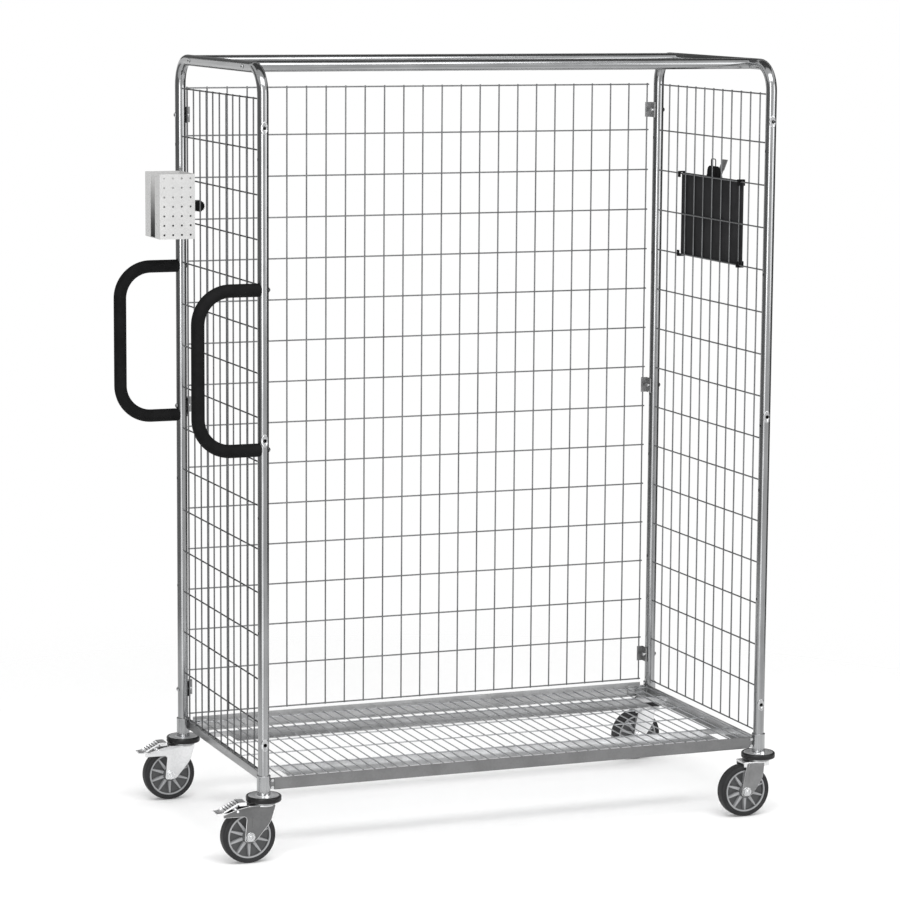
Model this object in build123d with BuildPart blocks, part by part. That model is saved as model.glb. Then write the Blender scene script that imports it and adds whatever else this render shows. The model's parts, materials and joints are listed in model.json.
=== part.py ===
from build123d import *
import os

os.makedirs("parts", exist_ok=True)

# Driving dimensions in millimetres. X runs along the trolley with the push handles at its -X end,
# Y runs from the open front to the back mesh, and Z runs up from the floor.

# End frames: one bent round tube at each end
frame_height = 1800.0
post_span_x = 1245.0
post_span_y = 623.0
tube_d = 25.4
tube_wall = 1.5
tube_bend_r = 62.0
top_bar_span = 404.0

# Punched holes in the posts
panel_hole_d = 8.5
panel_hole_low = 269.0
panel_hole_top_drop = 144.0
panel_hole_count = 3
spare_hole_heights = (525.0, 787.0)
spare_hole_top_drop = 213.0

# Welded wire panels on the two ends and the back
wire_d = 3.5
weld_gap = 0.05
end_column_count = 11
end_column_gap = 61.5
back_column_count = 25
back_column_gap = 22.5
inner_row_count = 14
top_row_drop = 81.3
top_row_gap = 113.0
bottom_row_gap = 108.0
bottom_row_rise = 50.0
wire_overhang = 3.0
back_mesh_reach = 20.0

# Round-head bolts and the plate clips of the back mesh
bolt_d = 6.0
bolt_clearance = 0.3
bolt_head_d = 12.0
bolt_head_h = 4.0
nut_d = 10.0
nut_h = 5.0
plug_length = 12.0
clip_t = 2.0
clip_height = 37.0
clip_front_reach = 9.0
clip_past_wire = 6.0

# Castors
wheel_d = 125.0
tyre_width = 32.0
tyre_round = 4.5
tyre_fit = 0.05
rim_d = 102.0
rim_ring_t = 4.5
rim_width = 29.0
rim_web_t = 5.0
rib_count = 10
rib_t = 3.2
rib_width = 24.0
hub_d = 32.0
hub_side_gap = 0.4
axle_d = 10.0
axle_fit = 0.05
axle_hex = 17.0
axle_head_h = 6.5
trail = 38.0
wheel_top_gap = 5.0
fork_inside = 38.0
fork_t = 3.0
foot_front = 14.0
foot_back = 12.5
foot_drop = 11.0
foot_round = 6.5
waist_rise = 32.0
braked_leg_back = 22.0
braked_waist_back = 11.0
plain_leg_back = 7.0
plain_waist_back = 4.0
crown_t = 4.5
crown_back = 20.0
crown_front = 43.0
crown_round = 2.5
king_pin_d = 16.0
king_pin_fit = 0.05
king_pin_head_d = 24.0
king_pin_head_h = 3.0
swivel_gap = 0.4
head_flange_d = 54.0
head_flange_t = 4.0
head_neck_d = 22.0
stem_d = 12.0
stem_length = 22.0

# Brake arm and pedal of the two left castors
arm_reach = 103.0
arm_drop = 17.0
arm_depth = 7.0
arm_root = 30.0
arm_corner_reach = 46.5
arm_corner_round = 8.0
pedal_root = 46.0
pedal_knee = 62.0
pedal_toe = 104.0
pedal_tip = 116.0
pedal_root_rise = 9.0
pedal_toe_drop = 13.0
pedal_t = 3.2
pedal_width = 36.0
pedal_rib_count = 6
pedal_rib_t = 2.4
pedal_rib_h = 1.8
pedal_rib_pitch = 7.0
pedal_root_depth = 9.0
pivot_reach = 68.0
pivot_drop = 10.5
pivot_d = 6.0
pivot_fit = 0.05
pivot_boss_r = 4.5
pivot_web_t = 12.0
pivot_proud = 1.5

# Bumpers and corner sockets
bumper_d = 82.0
bumper_h = 14.0
washer_d = 70.0
washer_t = 2.0
seat_fit = 0.2
socket_d = 31.0
socket_h = 45.0
socket_floor_t = 4.0
lug_t = 3.0
lug_length = 26.0

# Shelf rails, support angles and shelf mesh
rail_t = 2.0
rail_rise = 10.0
rail_h = 28.0
rail_flange = 15.0
rail_end_gap = 25.5
rail_face_out = 4.0
rear_rail_extra = 6.0
tongue_t = 3.0
tongue_length = 44.0
end_rail_h = 20.0
end_rail_flange = 30.0
end_rail_inset = 8.0
support_inset = 124.5
support_leg = 10.5
support_flange = 60.0
support_setback = 80.0
shelf_wire_d = 3.0
shelf_wire_count = 44
shelf_socket_gap = 1.5
shelf_edge_gap = 9.5
edge_wire_inset = 6.0
middle_wire_span = 124.6
shelf_bolt_reach = 20.0
shelf_bolt_pitch = 16.0
shelf_bolt_d = 4.0
shelf_bolt_head_d = 7.0
shelf_bolt_head_h = 2.5

# Push handles on the left posts
handle_low = 941.0
handle_span = 357.5
handle_reach = 151.5
handle_tube_d = 22.0
handle_tube_wall = 2.0
handle_bend_r = 75.0
grip_d = 30.0
grip_fit = 0.1
grip_post_gap = 0.4
grip_wrap = 8.0

# Holder box on the left end mesh
holder_x = 85.5
holder_y = 120.0
holder_z = 152.0
holder_t = 1.5
holder_lead = 29.0
holder_post_gap = 8.0
holder_above_row = 19.5
holder_slot = 40.0
holder_hole_d = 5.0
holder_hole_column_count = 4
holder_hole_row_count = 7
holder_hole_pitch_y = 22.0
holder_hole_pitch_x = 21.3
bracket_t = 2.0
bracket_width = 96.0
bracket_drop = 88.0
hook_width = 14.0
hook_drop = 8.0
hook_count = 2
holder_row_count = 2
holder_column_count = 4
jaw_t = 3.0
jaw_height = 26.0
jaw_overlap = 3.0
jaw_drop = 57.0
knob_d = 26.0
knob_h = 11.0
knob_screw_d = 6.0
knob_fit = 0.1
knob_wire_gap = 3.2
knob_lug_gap = 6.0
knob_round = 2.5
knob_tail = 4.0

# Clipboard on the right end mesh
board_y = 340.0
board_t = 3.0
board_offset = 6.5
board_top_row_count = 2
board_bottom_row_count = 4
board_past_row = 2.4
corner_width = 10.0
corner_t = 3.0
corner_leg = 12.0
corner_fit = 0.3
clamp_width = 78.0
clamp_tab_width = 66.0
clamp_tab_rise = 25.0
clamp_tab_round = 16.0
clamp_plate_t = 2.0
clamp_drop = 40.0
clamp_ear_t = 2.5
clamp_ear_gap = 26.0
clamp_pin_out = 9.0
clamp_pin_drop = 12.0
clamp_pin_d = 5.0
clamp_pin_fit = 0.05
clamp_ear_r = 5.0
clamp_side_gap = 0.4
lever_t = 2.5
lever_hub_r = 4.5
lever_width = 26.0
lever_jaw_drop = 22.0
lever_jaw_gap = 0.4
lever_rise = 52.0
lever_lean = 20.0
loop_wire_d = 2.5
loop_width = 24.0
loop_rise = 17.0
loop_bend_r = 5.0

# Places that follow from the sizes
mid_x = (handle_reach + grip_d / 2 - bumper_d / 2) / 2
post_x = {"left": mid_x - post_span_x / 2, "right": mid_x + post_span_x / 2}
inward = {"left": 1, "right": -1}
post_y = {"front": -post_span_y / 2, "rear": post_span_y / 2}
outward = {"front": -1, "rear": 1}
corners = [(end, side) for side in post_x for end in post_y]
tube_r = tube_d / 2
bolt_hole_d = bolt_d + 2 * bolt_clearance
top_tube_z = frame_height - tube_r
bar_y = {"front": -top_bar_span / 2, "rear": top_bar_span / 2}

axle_z = wheel_d / 2
crown_bottom = wheel_d + wheel_top_gap
crown_top = crown_bottom + crown_t
flange_bottom = crown_top + swivel_gap
bumper_bottom = flange_bottom + head_flange_t
bumper_top = bumper_bottom + bumper_h
post_foot_z = bumper_top + socket_floor_t
fork_width = fork_inside + 2 * fork_t

rail_bottom = bumper_top + rail_rise
rail_top = rail_bottom + rail_h
rail_mid = (rail_bottom + rail_top) / 2
end_rail_bottom = rail_top - end_rail_h
support_span = post_span_y - 2 * support_inset
support_bottom = end_rail_bottom + rail_t
support_top = support_bottom + support_leg
long_wire_z = support_top + weld_gap + shelf_wire_d / 2
cross_wire_z = long_wire_z + weld_gap + shelf_wire_d

top_row_z = frame_height - top_row_drop
bottom_row_z = bumper_top + bottom_row_rise
first_row_z = top_row_z - top_row_gap
row_pitch = (first_row_z - bottom_row_gap - bottom_row_z) / (inner_row_count - 1)
inner_rows = [first_row_z - row_pitch * k for k in range(inner_row_count)]
row_heights = [top_row_z] + inner_rows + [bottom_row_z]
end_column_pitch = (post_span_y - 2 * end_column_gap) / (end_column_count - 1)
back_column_pitch = (post_span_x - 2 * back_column_gap) / (back_column_count - 1)
column_bottom = bottom_row_z - wire_overhang
column_height = top_row_z + wire_overhang - column_bottom
row_inset = (wire_d + weld_gap) / 2
column_inset = row_inset - weld_gap - wire_d
back_y = post_y["rear"] + back_mesh_reach
back_half = post_span_x / 2 - back_column_gap

panel_hole_pitch = (frame_height - panel_hole_top_drop - panel_hole_low) / (panel_hole_count - 1)
panel_holes = [panel_hole_low + panel_hole_pitch * k for k in range(panel_hole_count)]
spare_holes = list(spare_hole_heights) + [frame_height - spare_hole_top_drop]
handle_arms = [handle_low, handle_low + handle_span]


def plane_at_x(x):
    """Plane across the trolley: local x is Y and local y is Z."""
    return Plane.YZ.offset(x)


def plane_at_y(y):
    """Plane along the trolley: local x is X, local y is Z, and its normal is -Y."""
    return Plane.XZ.offset(-y)


def save(part, name):
    part.label = name
    export_step(part, f"parts/{name}.step")


# End frames, top bars and their bolts


def make_end_frame(side):
    x = post_x[side]
    cross_holes = [(y, z) for y in post_y.values() for z in handle_arms + spare_holes]
    cross_holes += [(post_y["rear"], z) for z in panel_holes]
    cross_holes += [(y, top_tube_z) for y in bar_y.values()]
    with BuildPart() as frame:
        with BuildLine(plane_at_x(x)):
            FilletPolyline(
                (post_y["front"], post_foot_z),
                (post_y["front"], top_tube_z),
                (post_y["rear"], top_tube_z),
                (post_y["rear"], post_foot_z),
                radius=tube_bend_r,
            )
        with BuildSketch(Plane.XY.offset(post_foot_z)):
            with Locations((x, post_y["front"])):
                Circle(tube_r)
                Circle(tube_r - tube_wall, mode=Mode.SUBTRACT)
        sweep()
        with BuildSketch(plane_at_y(post_y["front"])):
            with Locations(*[(x, z) for z in panel_holes]):
                Circle(panel_hole_d / 2)
        extrude(amount=tube_d, mode=Mode.SUBTRACT)
        with BuildSketch(plane_at_x(x)):
            with Locations(*cross_holes):
                Circle(bolt_hole_d / 2)
        extrude(amount=tube_d, both=True, mode=Mode.SUBTRACT)
    return frame.part


def make_top_bar(end):
    y = bar_y[end]
    with BuildPart() as bar:
        with BuildSketch(plane_at_x(post_x["left"])):
            with Locations((y, top_tube_z)):
                Circle(tube_r)
                Circle(tube_r - tube_wall, mode=Mode.SUBTRACT)
        extrude(amount=post_span_x)
        for side in post_x:
            with BuildSketch(plane_at_x(post_x[side] + inward[side] * tube_r)):
                with Locations((y, top_tube_z)):
                    Circle(tube_r - tube_wall)
                    Circle(bolt_hole_d / 2, mode=Mode.SUBTRACT)
            extrude(amount=inward[side] * plug_length)
        with BuildSketch(plane_at_y(y)):
            with Locations(*[(x, top_tube_z) for x in post_x.values()]):
                Circle(tube_r)
        extrude(amount=tube_d, both=True, mode=Mode.SUBTRACT)
    return bar.part


def make_frame_bolts():
    """Round-head bolts along X: into the top bars and handles, and with nuts behind the mesh clips."""
    into_plug = tube_d + plug_length
    through_clip = tube_d + clip_t + nut_h
    bolt_list = []
    for side in post_x:
        outside = post_x[side] - inward[side] * tube_r
        bolt_list += [(outside, y, top_tube_z, inward[side], into_plug, False) for y in bar_y.values()]
        bolt_list += [(outside, post_y["rear"], z, inward[side], through_clip, True) for z in panel_holes]
    for z in handle_arms:
        bolt_list += [(post_x["left"] + tube_r, y, z, -1, into_plug, False) for y in post_y.values()]
    with BuildPart() as bolts:
        for x, y, z, way, length, has_nut in bolt_list:
            with BuildSketch(Plane(origin=(x, y, z), x_dir=(way, 0, 0), z_dir=(0, -way, 0))):
                with BuildLine():
                    TangentArc((-bolt_head_h, 0), (0, bolt_head_d / 2), tangent=(0, 1))
                    Polyline((0, bolt_head_d / 2), (0, bolt_d / 2), (length, bolt_d / 2), (length, 0))
                    Line((length, 0), (-bolt_head_h, 0))
                make_face()
                if has_nut:
                    with Locations((length - nut_h / 2, nut_d / 4)):
                        Rectangle(nut_h, nut_d / 2)
            revolve(axis=Axis((x, y, z), (1, 0, 0)))
    return bolts.part


# Wire panels of the ends and the back


def make_end_mesh(side):
    row_x = post_x[side] + inward[side] * row_inset
    column_x = post_x[side] + inward[side] * column_inset
    row_gap = tube_r + weld_gap
    with BuildPart() as mesh:
        with BuildSketch(Plane(origin=(column_x, 0, column_bottom))):
            with GridLocations(0, end_column_pitch, 1, end_column_count):
                Circle(wire_d / 2)
        extrude(amount=column_height)
        with BuildSketch(plane_at_y(post_y["front"] + row_gap)):
            with Locations(*[(row_x, z) for z in row_heights]):
                Circle(wire_d / 2)
        extrude(amount=-(post_span_y - 2 * row_gap))
    return mesh.part


def make_back_mesh():
    with BuildPart() as mesh:
        with BuildSketch(Plane(origin=(mid_x, back_y, column_bottom))):
            with GridLocations(back_column_pitch, 0, back_column_count, 1):
                Circle(wire_d / 2)
        extrude(amount=column_height)
        with BuildSketch(plane_at_x(mid_x - back_half - wire_overhang)):
            with Locations(*[(back_y - wire_d - weld_gap, z) for z in row_heights]):
                Circle(wire_d / 2)
        extrude(amount=2 * (back_half + wire_overhang))
    return mesh.part


def make_mesh_clips():
    """Angle plates bolted to the rear posts, each with its face on the edge wire of the back mesh.

    The middle ones are notched for the heads of the handle bolts.
    """
    plate_front = post_y["rear"] - clip_front_reach
    face_back = back_y - wire_d / 2 - weld_gap
    face_front = face_back - clip_t
    with BuildPart() as clips:
        for side in post_x:
            into = inward[side]
            plate_x = post_x[side] + into * tube_r
            wire_x = mid_x - into * back_half
            face_end = wire_x + into * clip_past_wire
            for z in panel_holes:
                with BuildSketch(Plane.XY.offset(z - clip_height / 2)):
                    with BuildLine():
                        Polyline(
                            (plate_x, plate_front),
                            (plate_x, face_back),
                            (face_end, face_back),
                            (face_end, face_front),
                            (plate_x + into * clip_t, face_front),
                            (plate_x + into * clip_t, plate_front),
                            close=True,
                        )
                    make_face()
                extrude(amount=clip_height)
        with BuildSketch(plane_at_x(post_x["left"])):
            with Locations(*[(post_y["rear"], z) for z in panel_holes]):
                Circle(bolt_hole_d / 2)
            with Locations(*[(post_y["rear"], z) for z in handle_arms]):
                Circle(bolt_head_d / 2 + 2 * bolt_clearance)
        extrude(amount=post_span_x, mode=Mode.SUBTRACT)
    return clips.part


# Shelf


def make_long_rail(end):
    """Front or rear rail: a folded face and flange, with a tongue at each end for the corner lugs."""
    out = outward[end]
    face_y = post_y[end] + out * rail_face_out
    inner_y = face_y - out * rail_t
    face_top = rail_top + (rear_rail_extra if end == "rear" else 0)
    rail_left = post_x["left"] + rail_end_gap
    rail_length = post_span_x - 2 * rail_end_gap
    with BuildPart() as rail:
        with BuildSketch(plane_at_x(rail_left)):
            with BuildLine():
                Polyline(
                    (face_y, rail_bottom),
                    (face_y, face_top),
                    (inner_y, face_top),
                    (inner_y, rail_bottom + rail_t),
                    (face_y - out * rail_flange, rail_bottom + rail_t),
                    (face_y - out * rail_flange, rail_bottom),
                    close=True,
                )
            make_face()
        extrude(amount=rail_length)
        for side in post_x:
            into = inward[side]
            tongue_x = post_x[side] + into * (socket_d + tongue_length) / 2
            with BuildSketch(plane_at_y(inner_y)):
                with Locations((tongue_x, rail_mid)):
                    Rectangle(tongue_length, rail_h - 2 * rail_t)
                with Locations((post_x[side] + into * shelf_bolt_reach, rail_mid)):
                    with GridLocations(0, shelf_bolt_pitch, 1, 2):
                        Circle(shelf_bolt_d / 2 + seat_fit, mode=Mode.SUBTRACT)
            extrude(amount=out * tongue_t)
    return rail.part


def make_end_rail(side):
    """Angle between two corner sockets, with its flange under the support angles."""
    into = inward[side]
    face_x = post_x[side] + into * end_rail_inset
    with BuildPart() as rail:
        with BuildSketch(plane_at_y(post_y["front"])):
            with BuildLine():
                Polyline(
                    (face_x, end_rail_bottom),
                    (face_x, rail_top),
                    (face_x + into * rail_t, rail_top),
                    (face_x + into * rail_t, end_rail_bottom + rail_t),
                    (face_x + into * end_rail_flange, end_rail_bottom + rail_t),
                    (face_x + into * end_rail_flange, end_rail_bottom),
                    close=True,
                )
            make_face()
        extrude(amount=-post_span_y)
        with BuildSketch(Plane.XY.offset(rail_bottom)):
            with Locations(*[(face_x, y) for y in post_y.values()]):
                Rectangle(2 * (rail_end_gap + tongue_length), 2 * lug_length)
        extrude(amount=rail_h, mode=Mode.SUBTRACT)
        for end in post_y:
            lug_end = post_y[end] - outward[end] * lug_length
            with BuildSketch(plane_at_y(lug_end)):
                with Locations((face_x + into * rail_t / 2, rail_top - end_rail_h / 2)):
                    Rectangle(rail_t, end_rail_h)
            extrude(amount=-outward[end] * lug_length)
        with BuildSketch(Plane.XY.offset(rail_bottom)):
            with Locations(*[(post_x[side], y) for y in post_y.values()]):
                Circle(socket_d / 2)
        extrude(amount=rail_h, mode=Mode.SUBTRACT)
    return rail.part


def make_support(end):
    """Support angle under the shelf mesh: its leg spans the end rails, its flange stops short of them."""
    leg_y = outward[end] * support_span / 2
    end_gap = end_rail_inset + rail_t + weld_gap
    with BuildPart() as support:
        with BuildSketch(plane_at_x(post_x["left"] + end_gap)):
            with Locations((leg_y, support_bottom + support_leg / 2)):
                Rectangle(rail_t, support_leg)
        extrude(amount=post_span_x - 2 * end_gap)
        with BuildSketch(plane_at_x(post_x["left"] + support_setback)):
            with Locations((leg_y + rail_t / 2 - support_flange / 2, support_bottom + rail_t / 2)):
                Rectangle(support_flange, rail_t)
        extrude(amount=post_span_x - 2 * support_setback)
    return support.part


def make_shelf_mesh():
    shelf_half_x = post_span_x / 2 - socket_d / 2 - shelf_socket_gap
    shelf_half_y = post_span_y / 2 + rail_face_out - rail_t - shelf_edge_gap
    wire_pitch = (2 * shelf_half_x - shelf_wire_d) / (shelf_wire_count - 1)
    wire_rows = (shelf_half_y - edge_wire_inset, support_span / 2, middle_wire_span / 2)
    with BuildPart() as mesh:
        with BuildSketch(plane_at_y(-shelf_half_y)):
            with Locations((mid_x, cross_wire_z)):
                with GridLocations(wire_pitch, 0, shelf_wire_count, 1):
                    Circle(shelf_wire_d / 2)
        extrude(amount=-2 * shelf_half_y)
        with BuildSketch(plane_at_x(mid_x - shelf_half_x)):
            for row_y in wire_rows:
                with Locations((-row_y, long_wire_z), (row_y, long_wire_z)):
                    Circle(shelf_wire_d / 2)
        extrude(amount=2 * shelf_half_x)
    return mesh.part


def make_socket(end, side):
    """Cup that takes the foot of a post, with a lug for the tongue of the long rail."""
    x = post_x[side]
    y = post_y[end]
    lug_y = y + outward[end] * (rail_face_out - rail_t - tongue_t)
    lug_reach = socket_d / 2 + lug_length
    with BuildPart() as socket:
        with BuildSketch(Plane.XY.offset(bumper_top)):
            with Locations((x, y)):
                Circle(socket_d / 2)
        extrude(amount=socket_h)
        with BuildSketch(plane_at_y(lug_y)):
            with Locations((x + inward[side] * lug_reach / 2, rail_mid)):
                Rectangle(lug_reach, rail_h - 2 * rail_t)
            with Locations((x + inward[side] * shelf_bolt_reach, rail_mid)):
                with GridLocations(0, shelf_bolt_pitch, 1, 2):
                    Circle(shelf_bolt_d / 2 + seat_fit, mode=Mode.SUBTRACT)
        extrude(amount=outward[end] * lug_t)
        with BuildSketch(Plane.XY.offset(post_foot_z)):
            with Locations((x, y)):
                Circle(tube_r + seat_fit)
        extrude(amount=socket_h, mode=Mode.SUBTRACT)
        with BuildSketch(Plane.XY.offset(bumper_top)):
            with Locations((x, y)):
                Circle(stem_d / 2 + seat_fit)
        extrude(amount=socket_floor_t, mode=Mode.SUBTRACT)
    return socket.part


def make_shelf_bolts():
    with BuildPart() as bolts:
        for end, side in corners:
            out = outward[end]
            face_y = post_y[end] + out * (rail_face_out - rail_t)
            place = (post_x[side] + inward[side] * shelf_bolt_reach, rail_mid)
            shank = tongue_t + lug_t
            with BuildSketch(plane_at_y(face_y)):
                with Locations(place):
                    with GridLocations(0, shelf_bolt_pitch, 1, 2):
                        Circle(shelf_bolt_head_d / 2)
            extrude(amount=-out * shelf_bolt_head_h)
            with BuildSketch(plane_at_y(face_y)):
                with Locations(place):
                    with GridLocations(0, shelf_bolt_pitch, 1, 2):
                        Circle(shelf_bolt_d / 2)
            extrude(amount=out * shank)
            with BuildSketch(plane_at_y(face_y - out * shank)):
                with Locations(place):
                    with GridLocations(0, shelf_bolt_pitch, 1, 2):
                        RegularPolygon(shelf_bolt_head_d / 2, 6)
            extrude(amount=out * shelf_bolt_head_h)
    return bolts.part


# Bumpers and castors


def make_bumper(end, side):
    with BuildPart() as bumper:
        with BuildSketch(Plane.XY.offset(bumper_bottom)):
            with Locations((post_x[side], post_y[end])):
                Circle(bumper_d / 2)
                Circle(head_neck_d / 2 + seat_fit, mode=Mode.SUBTRACT)
        extrude(amount=bumper_h)
        with BuildSketch(Plane.XY.offset(bumper_top)):
            with Locations((post_x[side], post_y[end])):
                Circle(washer_d / 2 + seat_fit)
        extrude(amount=-washer_t, mode=Mode.SUBTRACT)
        rims = bumper.edges().filter_by(GeomType.CIRCLE).sort_by(SortBy.RADIUS)[-2:]
        fillet(rims, (bumper_d - washer_d) / 6)
    return bumper.part


def make_bumper_washers():
    with BuildPart() as washers:
        with BuildSketch(Plane.XY.offset(bumper_top - washer_t)):
            with Locations(*[(post_x[side], post_y[end]) for end, side in corners]):
                Circle(washer_d / 2)
                Circle(stem_d / 2 + seat_fit, mode=Mode.SUBTRACT)
        extrude(amount=washer_t)
    return washers.part


def make_castor_head(end, side):
    """Stem, neck, bearing flange and headed king pin, turned about the post axis."""
    x = post_x[side]
    y = post_y[end]
    pin_head_top = crown_bottom - swivel_gap
    neck_top = bumper_top - washer_t
    with BuildPart() as head:
        with BuildSketch(plane_at_y(y)):
            with BuildLine():
                Polyline(
                    (x, pin_head_top - king_pin_head_h),
                    (x + king_pin_head_d / 2, pin_head_top - king_pin_head_h),
                    (x + king_pin_head_d / 2, pin_head_top),
                    (x + king_pin_d / 2, pin_head_top),
                    (x + king_pin_d / 2, flange_bottom),
                    (x + head_flange_d / 2, flange_bottom),
                    (x + head_flange_d / 2, bumper_bottom),
                    (x + head_neck_d / 2, bumper_bottom),
                    (x + head_neck_d / 2, neck_top),
                    (x + stem_d / 2, neck_top),
                    (x + stem_d / 2, neck_top + stem_length),
                    (x, neck_top + stem_length),
                    close=True,
                )
            make_face()
        revolve(axis=Axis((x, y, 0), (0, 0, 1)))
    return head.part


def make_fork(end, side):
    """Castor fork: two legs trailing to the axle under a crown, with a pedal arm on the left ones."""
    x = post_x[side]
    y = post_y[end]
    braked = side == "left"
    foot_z = axle_z - foot_drop
    front_foot = (x - trail - foot_front, foot_z)
    back_foot = (x - trail + foot_back, foot_z)
    waist = (x + (braked_waist_back if braked else plain_waist_back), axle_z + waist_rise)
    back = (x + (braked_leg_back if braked else plain_leg_back), crown_top)
    root = (x - arm_root, crown_top)
    tip = (x - arm_reach, crown_top - arm_drop)
    bow = (x - (arm_root + arm_reach) / 2, crown_top - arm_drop / 3)
    under_z = tip[1] - arm_depth
    corner = (x - arm_corner_reach, under_z)
    with BuildPart() as fork:
        with BuildSketch(plane_at_y(y - fork_inside / 2)) as leg:
            with BuildLine():
                Polyline(front_foot, back_foot, waist, back, root)
                if braked:
                    ThreePointArc(root, bow, tip)
                    Polyline(tip, (tip[0], under_z), corner, front_foot)
                else:
                    Line(root, front_foot)
            make_face()
            if braked:
                fillet(leg.vertices().group_by(Axis.Y)[2].sort_by(Axis.X)[-1], arm_corner_round)
            fillet(leg.vertices().group_by(Axis.Y)[0], foot_round)
            with Locations((x - trail, axle_z)):
                Circle(axle_d / 2 + seat_fit, mode=Mode.SUBTRACT)
            if braked:
                with Locations((x - pivot_reach, crown_top - pivot_drop)):
                    Circle(pivot_d / 2 + pivot_fit, mode=Mode.SUBTRACT)
        extrude(amount=fork_t)
        mirror(about=plane_at_y(y))
        with BuildSketch(Plane.XY.offset(crown_bottom)):
            with Locations((x + (crown_back - arm_root) / 2, y)):
                Rectangle(arm_root + crown_back, fork_width)
            with Locations((x - (arm_root + crown_front) / 2, y)):
                Rectangle(crown_front - arm_root, fork_inside)
            with Locations((x, y)):
                Circle(head_flange_d / 2)
                Circle(king_pin_d / 2 + king_pin_fit, mode=Mode.SUBTRACT)
        extrude(amount=crown_t - (crown_round if braked else 0))
    return fork.part


def make_axle(end, side):
    x = post_x[side] - trail
    y = post_y[end]
    with BuildPart() as axle:
        with BuildSketch(plane_at_y(y)):
            with Locations((x, axle_z)):
                Circle(axle_d / 2)
        extrude(amount=fork_width / 2 + axle_head_h, both=True)
        for sign in (-1, 1):
            with BuildSketch(plane_at_y(y + sign * fork_width / 2)):
                with Locations((x, axle_z)):
                    RegularPolygon(axle_hex / 2, 6, major_radius=False)
            extrude(amount=-sign * (axle_head_h - fork_t / 2))
    return axle.part


def make_rim(end, side):
    """Wheel centre: hub, web, outer ring and radial ribs."""
    x = post_x[side] - trail
    y = post_y[end]
    hub_length = fork_inside - 2 * hub_side_gap
    bore_r = axle_d / 2 + axle_fit
    ring_mid = rim_d / 2 - rim_ring_t / 2
    rib_length = rim_d / 2 - rim_ring_t - hub_d / 2
    with BuildPart() as rim:
        with BuildSketch(plane_at_x(x)):
            with Locations((y, axle_z + (bore_r + hub_d / 2) / 2)):
                Rectangle(hub_length, hub_d / 2 - bore_r)
            with Locations((y, axle_z + (hub_d / 2 + ring_mid) / 2 - rim_ring_t / 2)):
                Rectangle(rim_web_t, ring_mid - hub_d / 2 + rim_ring_t)
            with Locations((y, axle_z + ring_mid)):
                Rectangle(rim_width, rim_ring_t)
        revolve(axis=Axis((x, y, axle_z), (0, 1, 0)))
        with BuildSketch(Plane(origin=(x, y, axle_z), x_dir=(1, 0, 0), z_dir=(0, -1, 0))):
            with PolarLocations(hub_d / 2 + rib_length / 2, rib_count):
                Rectangle(rib_length + rim_ring_t, rib_t)
        extrude(amount=rib_width / 2, both=True)
    return rim.part


def make_tyre(end, side):
    x = post_x[side] - trail
    y = post_y[end]
    inner_r = rim_d / 2 + tyre_fit
    with BuildPart() as tyre:
        with BuildSketch(plane_at_x(x)) as section:
            with Locations((y, axle_z + (inner_r + wheel_d / 2) / 2)):
                Rectangle(tyre_width, wheel_d / 2 - inner_r)
            fillet(section.vertices().group_by(Axis.Y)[-1], tyre_round)
        revolve(axis=Axis((x, y, axle_z), (0, 1, 0)))
    return tyre.part


def make_pedal(end):
    """Brake pedal: a ribbed plate on a web, with its pivot pin through the two fork arms."""
    x = post_x["left"]
    y = post_y[end]
    pivot = (x - pivot_reach, crown_top - pivot_drop)
    root_z = crown_top + pedal_root_rise
    toe_z = crown_top - pedal_toe_drop
    knee = (x - pedal_knee, root_z)
    toe = (x - pedal_toe, toe_z)
    tip = (x - pedal_tip, toe_z)
    slope = (root_z - toe_z) / (pedal_toe - pedal_knee)
    web_front = knee[0] - 2 * pedal_root_depth
    web_front_z = root_z - 2 * pedal_root_depth * slope - pedal_t / 2
    down_slope = (toe[0] - knee[0], 0, toe[1] - knee[1])
    rib_plane = Plane(origin=(knee[0], y, knee[1]), x_dir=down_slope, z_dir=(0, 1, 0))
    with BuildPart() as pedal:
        with BuildSketch(plane_at_y(y)):
            with BuildLine():
                Polyline(
                    (x - pedal_root, root_z),
                    knee,
                    toe,
                    tip,
                    (tip[0], toe_z - pedal_t),
                    (toe[0], toe_z - pedal_t),
                    (knee[0] - pedal_t, root_z - pedal_t),
                    (knee[0], root_z - pedal_root_depth),
                    (x - pedal_root, root_z - pedal_root_depth),
                    close=True,
                )
            make_face()
        extrude(amount=pedal_width / 2, both=True)
        with BuildSketch(rib_plane):
            with Locations(*[(pedal_rib_pitch * (k + 1), pedal_rib_h / 2) for k in range(pedal_rib_count)]):
                Rectangle(pedal_rib_t, pedal_rib_h + pedal_t)
        extrude(amount=pedal_width / 2 - pedal_t, both=True)
        with BuildSketch(plane_at_y(y)):
            with BuildLine():
                Polyline(
                    (pivot[0] + pivot_boss_r, pivot[1]),
                    (knee[0] + pedal_t, root_z - pedal_root_depth / 2),
                    (web_front, web_front_z),
                    (pivot[0] - pivot_boss_r, pivot[1]),
                    close=True,
                )
            make_face()
            with Locations(pivot):
                Circle(pivot_boss_r)
        extrude(amount=pivot_web_t / 2, both=True)
        with BuildSketch(plane_at_y(y)):
            with Locations(pivot):
                Circle(pivot_d / 2)
        extrude(amount=fork_width / 2 + pivot_proud, both=True)
    return pedal.part


# Push handles


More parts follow.
